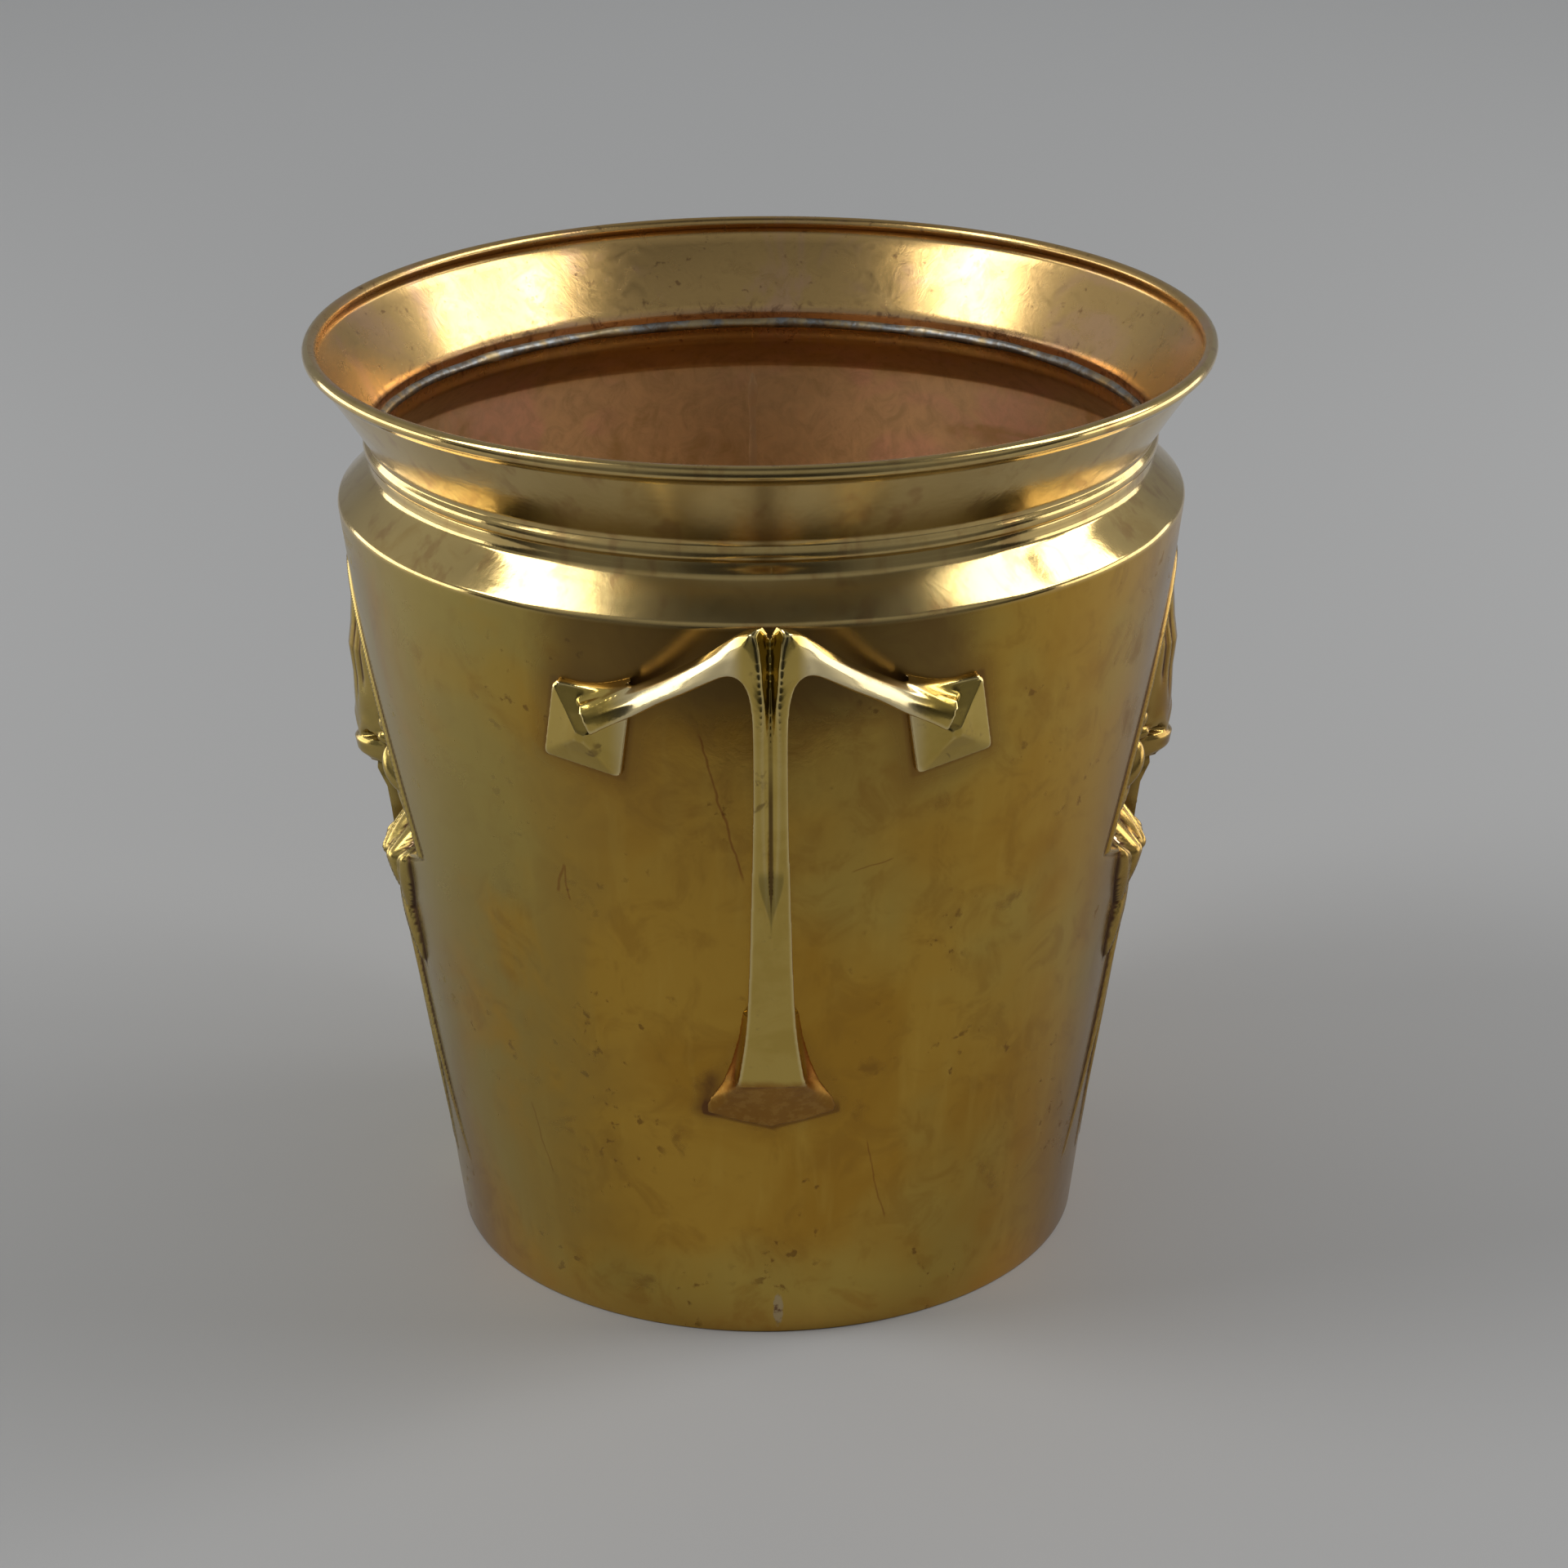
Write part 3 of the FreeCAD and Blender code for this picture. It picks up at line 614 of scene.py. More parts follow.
def flower_reach(y, z):
    """Three upright petals closed into a cup, with slits between them near the top."""
    half = 13 * np.clip(np.sin(math.pi * np.clip((192 - z) / 78, 0, 1)), 0, 1) ** 0.55 + 0.01
    across = np.clip(1 - (y / half) ** 2, 0, 1) ** 0.5
    floor = panel_reach(z) - 0.5
    top = along_side(z, FLOWER_SIDE)
    fold = 1.1 * np.exp(-((np.abs(y) - 4.6 - 0.05 * (z - 141)) / 0.8) ** 2) * smooth_step(146, 160, z)
    slits = 0.9 * np.exp(-((np.abs(y) - 8.6) / 0.7) ** 2) * smooth_step(152, 160, z) * smooth_step(178, 170, z)
    edge = 141.5 + 2.2 * np.cos(y * 0.75) * smooth_step(12, 4, np.abs(y))
    roll = 1.3 * np.exp(-((z - edge - 2) / 2) ** 2)
    reach = floor + (top + 0.3 * roll - floor) * across - fold - slits
    return np.where((z > edge) & (z < 191) & (np.abs(y) < half), reach, -1e3)


def lip_reach(y, z):
    """Turned-out lip below the cup, with a ball on each side of its middle."""
    half = 11
    across = np.clip(1 - (y / half) ** 2, 0, 1) ** 0.35
    floor = panel_reach(z) - 0.5
    reach = floor + (along_side(z, LIP_SIDE) - floor) * across
    edge = 133.2 + 1 * np.cos(y * 0.9)
    return np.where((z > edge) & (z < 140.5) & (np.abs(y) < half), reach, -1e3)


def relief_height(y, z):
    """Leaves, buds and stems, measured outwards from panel or wall."""
    total = np.zeros(y.shape)
    for side in (-1, 1):
        shapes = (
            leaf(y, z, (side * 3, 132), (side * 17, 107), 6, 8, bend=side * 1.5),
            leaf(y, z, (side * 8, 138), (side * 27, 118), 5, 6.5, bend=side * 2),
            leaf(y, z, (side * 10, 127), (side * 25, 101), 4.5, 5, bend=side * 2),
            dome(y, z, (side * 19.5, 136), (3.6, 8.5), side * 24, 8),
            dome(y, z, (side * 15, 147), (3, 4.2), side * 18, 6),
            leaf(y, z, (side * 31, 118), (side * 27, 97), 3.4, 3.2),
            leaf(y, z, (side * 21, 108), (side * 31, 84), 3, 3, bend=side * 1),
            dome(y, z, (side * 11, 141.5), (2.4, 3), 0, 8.5),
        )
        total = np.maximum(total, np.maximum.reduce(shapes))
        for number in range(3):
            start = (side * (2 + 5.2 * number), 112 - 4 * number)
            middle = (side * (5.5 + 9.5 * number), 64)
            end = (side * (9 + 14 * number), 19 + 4 * number)
            total = np.maximum(total, strand(y, z, (start, middle, end), (1.7, 0.7), (2.3, 0.25)))
    total = np.maximum(total, dome(y, z, (0, 126), (4.6, 10), 0, 9))
    total = np.maximum(total, leaf(y, z, (0, 120), (0, 88), 4.4, 5))
    return total


def arch_ridge(gap, y, z):
    """Raised border of the panel with the hollow line outside it, from the wall-to-panel gap."""
    slope_y = np.gradient(gap, axis=1) / np.gradient(y, axis=1)
    slope_z = np.gradient(gap, axis=0) / np.gradient(z, axis=0)
    distance = gap / np.maximum(np.hypot(slope_y, slope_z), 0.05)
    ridge = 1.5 * np.exp(-((distance - 1.3) / 0.95) ** 2)
    groove = -0.8 * np.exp(-((distance + 1.6) / 1) ** 2)
    return (ridge + groove) * smooth_step(113, 118, z)


def relief_surface(y, z):
    """Reach of the pressed sheet over the panel region, for lateral y and height z."""
    cone = np.sqrt(np.maximum(wall(z) ** 2 - y ** 2, 0))
    panel = panel_reach(z)
    base = smooth_min(cone, panel, 1.2)
    surface = base + arch_ridge(cone - panel, y, z)
    surface = np.maximum(surface, base + relief_height(y, z))
    heart = along_side(z, HEART_SIDE) - 0.02 * y ** 2
    surface = np.where((np.abs(y) < 4.5) & (z > 108) & (z < 134), np.maximum(surface, heart), surface)
    surface = np.maximum(surface, flower_reach(y, z))
    surface = np.maximum(surface, lip_reach(y, z))
    return surface


# ---------------- stamped body halves

FINE_AZIMUTH = 31
FINE_LOW, FINE_MIDDLE, FINE_TOP = 13.0, 96.0, 194.0
dents = waves(4, 14, 0.02, 0.06)
ripples = waves(9, 16, 0.05, 0.4, 26)


def body_profile():
    """Outer profile from the foot to the top of the neck, as (radius, height)."""
    foot = [(wall(0) - 0.35, 0), (wall(0) - 0.1, 0.12)]
    heights = [0.5, 2, 4, 7, 10, *np.arange(FINE_LOW, FINE_MIDDLE, 1.0), *np.arange(FINE_MIDDLE, FINE_TOP, 0.5),
               196, 199, 202, 205, 207.5]
    round_radius = 2.2
    turn = math.radians(45) + WALL_ANGLE
    setback = round_radius * math.tan(turn / 2)
    start = (wall(SHOULDER_HEIGHT) - setback * math.sin(WALL_ANGLE),
             SHOULDER_HEIGHT - setback * math.cos(WALL_ANGLE))
    centre = (start[0] - round_radius * math.cos(WALL_ANGLE),
              start[1] + round_radius * math.sin(WALL_ANGLE))
    corner = arc(centre, round_radius, -math.degrees(WALL_ANGLE), 45, 9)
    slope_end = (NECK_RADIUS + 0.8, NECK_HEIGHT - 0.8)
    x, z = corner[-1]
    slope = [(x + (slope_end[0] - x) * t, z + (slope_end[1] - z) * t) for t in (0.25, 0.5, 0.75, 1)]
    crease = [(NECK_RADIUS + 0.25, NECK_HEIGHT - 0.1), (NECK_RADIUS, NECK_HEIGHT + 0.8)]
    neck = [(NECK_RADIUS, z) for z in (NECK_HEIGHT + 2, NECK_TOP - 0.3)] + [(NECK_RADIUS - 0.25, NECK_TOP)]
    return np.array(foot + [(wall(z), z) for z in heights] + corner + slope + crease + neck)


def body_azimuths():
    """Columns of one half in degrees from +X: close together over the relief."""
    low, high = SEAM_TURN - 90, SEAM_TURN + 90
    return np.concatenate([
        [low, low + 0.12, low + 0.5],
        np.linspace(low + 1.8, -FINE_AZIMUTH, 33, endpoint=False),
        np.linspace(-FINE_AZIMUTH, FINE_AZIMUTH, 195, endpoint=False),
        np.linspace(FINE_AZIMUTH, high - 1.8, 33),
        [high - 0.5, high - 0.12, high],
    ])


def blurred(values, times):
    for _ in range(times):
        padded = np.pad(values, 1, mode="edge")
        values = (padded[1:-1, 1:-1] * 2 + padded[:-2, 1:-1] + padded[2:, 1:-1]
                  + padded[1:-1, :-2] + padded[1:-1, 2:]) / 6
    return values


def body_half(name, node, turn):
    """Half of the pot: outer sheet with its relief, a softer copy of it inside, closed at the edges."""
    profile = body_profile()
    azimuth = np.radians(body_azimuths())
    z = np.repeat(profile[:, 1][:, None], len(azimuth), axis=1)
    r = np.repeat(profile[:, 0][:, None], len(azimuth), axis=1)
    spin = math.radians(turn)
    on_wall = smooth_step(8, 40, z) * smooth_step(206, 190, z)
    r = r + 0.1 * dents(azimuth[None, :] + spin, z) * on_wall
    on_shoulder = smooth_step(209.5, 211.5, z) * smooth_step(219.5, 217.5, z)
    r = r + 0.16 * ripples(azimuth[None, :] + spin, z) * on_shoulder
    r = r - 0.03 * (np.arange(len(azimuth)) % (len(azimuth) - 1) == 0)[None, :]
    x = r * np.cos(azimuth)
    y = r * np.sin(azimuth)
    plain_x = x.copy()
    rows = np.where((profile[:, 1] >= FINE_LOW) & (profile[:, 1] < FINE_TOP))[0]
    columns = np.where(np.abs(np.degrees(azimuth)) <= FINE_AZIMUTH)[0]
    block = np.ix_(rows, columns)
    surface = relief_surface(y[block], z[block])
    fade = smooth_step(FINE_AZIMUTH, FINE_AZIMUTH - 1.5, np.abs(np.degrees(azimuth[columns])))[None, :]
    flat = np.sqrt(np.maximum(wall(z[block]) ** 2 - y[block] ** 2, 0))
    x[block] += (surface - flat) * fade
    soft = blurred(x - plain_x, 14)
    inner_r = r - METAL / math.cos(WALL_ANGLE)
    inner_z = np.clip(z - 0.3 * smooth_step(206, 209, z), 0, None)
    inner_x = inner_r * np.cos(azimuth) + soft
    inner_y = inner_r * np.sin(azimuth)
    outer = np.stack([x, y, z], axis=2).reshape(-1, 3)
    inner = np.stack([inner_x, inner_y, inner_z], axis=2).reshape(-1, 3)
    points = np.vstack([outer, inner])
    count = len(outer)
    n_rows, n_columns = z.shape
    skin = grid_faces(n_rows, n_columns)
    lining = [[v + count for v in face] for face in grid_faces(n_rows, n_columns, flip=True)]
    index = np.arange(count).reshape(n_rows, n_columns)
    border = np.concatenate([index[0, :], index[1:, -1], index[-1, -2::-1], index[-2:0:-1, 0]]).tolist()
    edges = [[b, a, a + count, b + count] for a, b in zip(border, border[1:] + border[:1])]
    slots = [0] * len(skin) + [1] * len(lining) + [0] * len(edges)
    piece = new_piece(name, spun(points, turn), skin + lining + edges, [outer_brass, inner_brass], slots)
    pressed = x - plain_x
    hollow = blurred(pressed, 30) - pressed
    near = blurred(pressed, 5) - pressed
    recess = np.clip(hollow / 1.1, 0, 1) + np.clip(near / 0.25, 0, 1) * 0.6
    for layer, values in (("recess", recess), ("rubbed", -near / 0.22)):
        paint(piece, layer, np.concatenate([values.ravel(), np.zeros(count)]))
    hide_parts(node)
    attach(piece, "root")


body_half("body_shell_right", "body_half_right", 0)
body_half("body_shell_left", "body_half_left", 180)


# ---------------- collar, wire and solder

def collar():
    """Skirt band over the neck, flared cone and rolled edge, as one sheet."""
    flare_foot = (104.3, 227.9)
    flare_top = (118.2, 248.8)
    rise = math.atan2(flare_top[1] - flare_foot[1], flare_top[0] - flare_foot[0])
    inward = (-math.sin(rise), math.cos(rise))
    band = [(NECK_RADIUS + 0.1, 223.5), (NECK_RADIUS + 0.7, 223.4), (105, 224.2), (105.25, 225.2),
            (105.25, 226), (104.95, 226.9), (104.4, 227.5)]
    outer = [(flare_foot[0] + (flare_top[0] - flare_foot[0]) * t - 0.35 * math.sin(math.pi * t),
              flare_foot[1] + (flare_top[1] - flare_foot[1]) * t) for t in np.linspace(0, 1, 12)]
    bead = arc((RIM_RADIUS, RIM_HEIGHT), BEAD, -62, 232, 26)
    inner = [(x + METAL * inward[0], z + METAL * inward[1]) for x, z in outer[::-1]][1:]
    throat = [(NECK_RADIUS + 0.1, 227.2), (NECK_RADIUS + 0.1, 225.3)]
    profile = band + outer + bead + inner + throat
    slots = [0] * (len(band) + len(outer) + 12) + [1] * (len(bead) - 12 + len(inner) + len(throat))
    ripple = waves(11, 10, 0.02, 0.08)

    def wobble(azimuth, z):
        upper = smooth_step(228, 248, z)
        return (np.minimum(0.1 * ripple(azimuth, z * 0) - 0.05, -0.02) * upper,
                np.minimum(0.12 * ripple(azimuth + 1, z * 0) - 0.06, -0.02) * upper)

    piece = revolve("flared_collar", profile, [outer_brass, inner_brass], slots, wobble)
    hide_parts("collar")
    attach(piece, "root")


collar()


def neck_bead():
    """Uneven ring of solder where the neck ends inside the collar."""
    profile = [(NECK_RADIUS - METAL - 0.1, NECK_TOP - 1.2), (NECK_RADIUS, NECK_TOP - 1.2)]
    profile += [(NECK_RADIUS + 0.1, NECK_TOP + 1.4), (NECK_RADIUS - 0.3, NECK_TOP + 1.2)]
    profile += [(NECK_RADIUS - 1, NECK_TOP + 0.5), (NECK_RADIUS - 1.3, NECK_TOP - 0.4)]
    lumps = waves(23, 24, 0.5, 2)

    def wobble(azimuth, z):
        return 0.22 * lumps(azimuth * 5, z), 0.2 * lumps(azimuth * 7 + 2, z)

    piece = revolve("neck_solder_bead", profile, [solder], None, wobble)
    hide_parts("neck_solder")
    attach(piece, "root")


neck_bead()


# ---------------- base, seams and wire

def turned_plate(name, profile, materials, slots):
    """Plate turned about the pot's axis from an open profile that starts and ends near the middle."""
    columns = RING_COLUMNS // 2
    azimuth = np.linspace(0, 2 * math.pi, columns, endpoint=False)
    points = [(r * math.cos(a), r * math.sin(a), z) for r, z in profile for a in azimuth]
    faces = grid_faces(len(profile), columns, wrap_columns=True, flip=True)
    face_slots = [slot for slot in slots[:-1] for _ in range(columns)]
    faces.append(list(range(columns))[::-1])
    faces.append([(len(profile) - 1) * columns + n for n in range(columns)])
    return new_piece(name, points, faces, materials, face_slots + [slots[0], slots[-1]])


def base_dish():
    """Pressed base: two shallow stiffening steps and a rounded turn up into the flange."""
    low, top = BASE_LOW[2], BASE_HIGH[2]
    edge = inner_wall(low + 2) - 0.12
    under = [(0.6, low + 0.5), (18, low + 0.5), (20.5, low), (52, low), (54.5, low + 0.4),
             (60, low + 0.4), (62.5, low)]
    turn = arc((edge - 2.4, low + 2.4), 2.4, -90, -8, 9)
    lip = [(inner_wall(top - 0.4) - 0.12, top - 0.4), (inner_wall(top) - 0.3, top),
           (inner_wall(top) - 0.75, top)]
    inner_turn = arc((edge - 2.4, low + 2.4), 2.4 - METAL, -8, -90, 9)
    over = [(r, z + METAL) for r, z in under[::-1]]
    profile = under + turn + lip + inner_turn + over
    slots = [0] * (len(under) + len(turn) + 1) + [1] * (2 + len(inner_turn) + len(over))
    piece = turned_plate("pressed_base", profile, [outer_brass, inner_brass], slots)
    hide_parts("base_plate")
    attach(piece, "root")


def base_fillet():
    """Run of solder between the flange's edge and the wall."""
    low, high = cad("base_solder")
    lumps = waves(31, 24, 0.5, 2)

    def wobble(azimuth, z):
        upper = smooth_step(low[2], high[2], z)
        return np.minimum(0.15 * lumps(azimuth * 4, z) - 0.1, 0), 0.2 * lumps(azimuth * 6 + 2, z) * upper

    z0, z1 = low[2], high[2]
    profile = [(inner_wall(z0) - 0.9, z0), (inner_wall(z0) - 0.02, z0), (inner_wall(z1) - 0.02, z1 - 0.1),
               (inner_wall(z1) - 0.25, z1 - 0.35), (inner_wall(z0) - 0.7, z0 + 0.45)]
    piece = revolve("base_solder_fillet", profile, [solder], None, wobble)
    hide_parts("base_solder")
    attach(piece, "root")


def seam_bead(name, node, middle):
    """Low, uneven run of solder wiped along the inside of an upright seam."""
    low, high = cad(node)
    random = np.random.default_rng(37)
    heights = np.linspace(low[2], high[2], 260)
    wander = np.convolve(random.uniform(-1, 1, len(heights) + 24), np.ones(25) / 5, "valid")
    swell = np.convolve(random.uniform(-1, 1, len(heights) + 8), np.ones(9) / 3, "valid")
    sections = []
    for z, shift, size in zip(heights, wander, swell):
        ends = min((z - low[2]) / 4, (high[2] - z) / 4, 1) ** 0.5
        half = (1.35 + 0.25 * size) * ends + 0.02
        section = []
        for n, u in enumerate((-1, -0.6, 0, 0.6, 1, 0.6, 0, -0.6)):
            rise = (0.14 + 0.03 * size) * (1 - u * u) * ends
            r = inner_wall(z) - 0.01 - rise if n < 5 else inner_wall(z)
            a = math.radians(middle) + (0.3 * shift + half * u) / r
            section.append((r * math.cos(a), r * math.sin(a), z))
        sections.append(section)
    points, faces = loft(sections)
    piece = new_piece(name, points, faces, [wiped_solder])
    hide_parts(node)
    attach(piece, "root")


# ---------------- handles

def loft(sections):
    """Points and faces of a solid through closed sections with equal numbers of points."""
    count = len(sections[0])
    points = [p for section in sections for p in section]
    faces = grid_faces(len(sections), count, wrap_columns=True)
    faces.append(list(range(count))[::-1])
    faces.append([(len(sections) - 1) * count + n for n in range(count)])
    return points, faces


def smooth_path(table, steps):
    """Cubic interpolation of a given table of stations (Catmull-Rom on every column)."""
    table = np.array(table, dtype=float)
    n = len(table)
    out = []
    for s in np.linspace(0, n - 1, steps):
        i = min(int(s), n - 2)
        t = s - i
        p0 = table[max(i - 1, 0)]
        p1, p2 = table[i], table[i + 1]
        p3 = table[min(i + 2, n - 1)]
        out.append(0.5 * (2 * p1 + (p2 - p0) * t + (2 * p0 - 5 * p1 + 4 * p2 - p3) * t ** 2
                          + (3 * p1 - p0 - 3 * p2 + p3) * t ** 3))
    return np.array(out)


# Half of the handle's bar as stations from the toe up the stem, over the knee and out along the
# arm: the edge nearer the middle line or outside the bend (x, reach, z), the other edge, the
# thickness behind each, the width and depth of the gutter that slopes in from the first edge, and
# how far the first edge falls back from the front of the bar.
HALF_BAR = (
    (1.2, 103.2, 81.5, 8.7, 103.2, 81.5, 10.5, 10, 1.5, 0.05, 0),
    (1.2, 107.2, 94, 7, 107.2, 94, 8.5, 8, 1.5, 0.05, 0),
    (1.2, 110.2, 104, 6.15, 110.2, 104, 7.2, 6.8, 1.5, 0.05, 0),
    (1, 115.8, 120, 5.5, 115.8, 120, 6.6, 6, 1.3, 0.08, 0),
    (0.5, 119.8, 131, 5.22, 119.7, 131, 6.5, 5.8, 0.8, 0.05, 0),
    (0.9, 121.8, 137, 5.1, 121.5, 137, 6.5, 5.8, 1.2, 1.1, 0),
    (1.2, 124.6, 145, 4.95, 124.1, 145, 6.5, 5.8, 1.5, 1.9, 0),
    (1.8, 128.9, 160, 4.6, 128.2, 160, 6.5, 5.8, 2.1, 2.9, 0),
    (2, 133.7, 178, 4.4, 132.9, 178, 6.5, 5.8, 2.3, 3.3, 0),
    (2, 136.7, 190, 4.4, 135.9, 190, 6.6, 5.8, 2.3, 3.8, 0),
    (1.8, 138.3, 198, 4.7, 137.4, 197.5, 6.6, 5.8, 2, 4.4, 0),
    (2.1, 139.3, 204, 5.4, 138, 201.9, 6.6, 5.8, 1.5, 4.8, 0),
    (2.6, 140.5, 210, 6.6, 137.6, 204.6, 6.2, 5.8, 1.1, 4, 0.1),
    (3.5, 141.3, 215.8, 8.3, 137, 206, 5.6, 5.8, 0.9, 2.9, 0.4),
    (5.2, 141.2, 218.2, 10, 135.8, 206, 5, 5.6, 0.9, 2.2, 0.8),
    (8.2, 138.4, 217, 11.9, 133.9, 205.1, 4.4, 5.3, 0.7, 1.7, 1.3),
    (11.6, 134.6, 214.2, 14.6, 131.7, 203.3, 3.8, 5.1, 0.5, 1.3, 1.9),
    (16, 129.6, 210, 17.8, 128.9, 200.9, 3.4, 5, 0.4, 1.1, 2.4),
    (21.2, 123.9, 205.4, 22, 125.2, 197.7, 3.1, 4.8, 0.3, 1, 2.6),
    (27.2, 118.4, 200.4, 27.8, 120, 193.3, 3, 4.7, 0.3, 1, 2.6),
    (33.8, 113.2, 195.6, 33.6, 115.2, 188.4, 3, 4.7, 0.3, 1, 2.4),
    (40.4, 109.7, 191.4, 39.4, 111.2, 184.2, 3.1, 4.8, 0.3, 1, 2.2),
    (47.3, 107.1, 187.2, 43.9, 108.2, 180.6, 3.3, 4.8, 0.3, 1, 2),
)
BAR_BEVEL = 1.4


def bar_solid():
    """Stem, knee and arm of one side as a single bent bar; two of them meet in the groove."""
    stations = smooth_path(HALF_BAR, 240)
    path = 0.5 * (stations[:, :3] + stations[:, 3:6])
    heading = np.gradient(path, axis=0)
    heading /= np.linalg.norm(heading, axis=1)[:, None]
    sections = []
    for row, ahead in zip(stations, heading):
        first, second = row[:3], row[3:6]
        first_depth, second_depth, gutter, gutter_depth, fall = row[6:]
        across = second - first
        width = np.linalg.norm(across)
        across /= width
        inward = np.cross(ahead, across)
        inward /= np.linalg.norm(inward)
        if inward[1] > 0:
            inward = -inward
        outline = [
            first - gutter * across + (gutter_depth + fall) * inward,
            first - 0.45 * gutter * across + (0.38 * gutter_depth + fall) * inward,
            first - 0.1 * gutter * across + (0.07 * gutter_depth + fall) * inward,
            first + 0.08 * width * across + 0.8 * fall * inward,
            first + 0.28 * width * across + (0.34 * fall - 0.05) * inward,
            first + 0.55 * width * across + (0.06 * fall - 0.12) * inward,
            second - 0.4 * across + 0.02 * inward,
            second + 0.4 * inward,
            second + BAR_BEVEL * inward,
            second + second_depth * inward - 0.8 * across,
            first + 0.5 * width * across + 0.5 * (first_depth + second_depth + fall) * inward,
            first - gutter * across + (first_depth + 0.6 * fall) * inward,
        ]
        sections.append([tuple(p) for p in outline])
    return loft(sections)


PAD_CORNERS = ((52.8, 98.1, 191.8), (55.6, 93.5, 170.8), (36.4, 102, 167.1), (33.8, 105.5, 187.3))
PAD_EDGE = 1.1


def bedded(point):
    """The point moved straight in or out until it lies just under the wall's surface."""
    x, y, z = point
    scale = (wall(z) - SOLDER_BED) / math.hypot(x, y)
    return (x * scale, y * scale, z)


def bed_sections(ring):
    """Nested rings that carry a closed outline across the curved wall, from its middle out."""
    middle = np.mean(np.array(ring), axis=0)
    return [[bedded(middle + (np.array(p) - middle) * scale) for p in ring]
            for scale in (0.05, 0.4, 0.75, 1)]


def pad_solid():
    """Square plate bedded on the wall, rising in four shallow facets to a blunt peak."""
    corners = np.array(PAD_CORNERS)
    centre = corners.mean(axis=0)
    out = np.array([centre[0], centre[1], -math.hypot(centre[0], centre[1]) * SLOPE])
    out /= np.linalg.norm(out)

    def ring(scale, rise):
        points = []
        for n, corner in enumerate(corners):
            following = corners[(n + 1) % 4]
            for t in (0, 0.06, 0.35, 0.65, 0.94):
                point = corner + (following - corner) * t
                rounding = 0.965 if t == 0 else 1
                points.append(tuple(centre + (point - centre) * scale * rounding + out * rise))
        return points

    sections = bed_sections(ring(1, 0))
    sections += [ring(1, 0.35), ring(0.96, PAD_EDGE), ring(0.5, 2.9), ring(0.12, 4.7)]
    return loft([section[::-1] for section in sections])


def spur_solid():
    """Hollowed web from the arm's upper edge and squared end out to the pad's upper corner."""
    upper_start, lower_start = np.array((33.5, 110.6, 194.6)), np.array((46.6, 106.5, 185.6))
    corner = np.array(PAD_CORNERS[0]) + np.array((-0.9, 1.5, -0.7))
    spread = np.array((0.55, 0, 0.85))
    sections = []
    for t in np.linspace(0, 1, 14):
        bulge = math.sin(math.pi * t)
        sag = np.array((0, -1.5, -0.5)) * bulge
        upper = upper_start + (corner + spread * 0.8 - upper_start) * t + sag + np.array((0, 0, -1.2)) * bulge
        lower = lower_start + (corner - spread * 0.9 - lower_start) * t + sag + np.array((-1.6, 0, 0.8)) * bulge
        middle = 0.5 * (upper + lower) + np.array((0, 0.25, 0))
        sections.append([tuple(upper), bedded(upper + spread * 0.9), bedded(lower - spread * 0.9),
                         tuple(lower), tuple(middle)])
    return loft(sections)


# Foot outlines, half of each: lateral place and height, from the tip round to the stem.
FOOT_ON_WALL = ((0, 65.6), (8.5, 67.4), (16.4, 69.6), (16.9, 71.5), (15.9, 74.2), (12.6, 79.5), (10.2, 86),
                (8.3, 93.5), (7.2, 101), (0, 103))
FOOT_FRONT = ((0, 81), (4.5, 81.1), (8.4, 81.4), (8.75, 81.8), (8.7, 82.4), (8.4, 84), (7.9, 87.5),
              (7.1, 94), (6.3, 101), (0, 103))


def foot_solid():
    """Shield-shaped foot that spreads from the stem's end onto the wall."""
    def ring(outline, reach):
        right = [(x, reach(x, z), z) for x, z in outline]
        return right + [(-x, y, z) for x, y, z in right[-2:0:-1]]

    def on_wall(x, z):
        return math.sqrt(wall(z) ** 2 - x * x)

    def front(x, z):
        return 102.9 + (z - 81.5) * 0.318

    base = ring(FOOT_ON_WALL, on_wall)
    top = ring(FOOT_FRONT, front)
    sections = bed_sections(base)
    for t in np.linspace(0, 1, 8):
        hollow = 1.1 * math.sin(math.pi * t)
        section = []
        for a, b in zip(base, top):
            p = [a[k] + (b[k] - a[k]) * t for k in range(3)]
            side = min(abs(p[0]) / 8, 1)
            p[0] -= math.copysign(hollow * side, p[0]) if p[0] else 0
            section.append(tuple(p))
        sections.append(section)
    return loft([s[::-1] for s in sections])


def merged(solids):
    points, faces = [], []
    for some_points, some_faces in solids:
        start = len(points)
        points += [tuple(p) for p in some_points]
        faces += [[v + start for v in face] for face in some_faces]
    return points, faces


def mirrored(solid):
    points, faces = solid
    return [(-x, y, z) for x, y, z in points], [list(face)[::-1] for face in faces]


HANDLE_VOXEL = 0.36


def bake_modifiers(piece):
    """Replaces the piece's mesh by what its modifiers make of it."""
    graph = bpy.context.evaluated_depsgraph_get()
    mesh = bpy.data.meshes.new_from_object(piece.evaluated_get(graph))
    piece.modifiers.clear()
    old = piece.data
    piece.data = mesh
    mesh.name = piece.name
    bpy.data.meshes.remove(old)
    mesh.polygons.foreach_set("use_smooth", [True] * len(mesh.polygons))


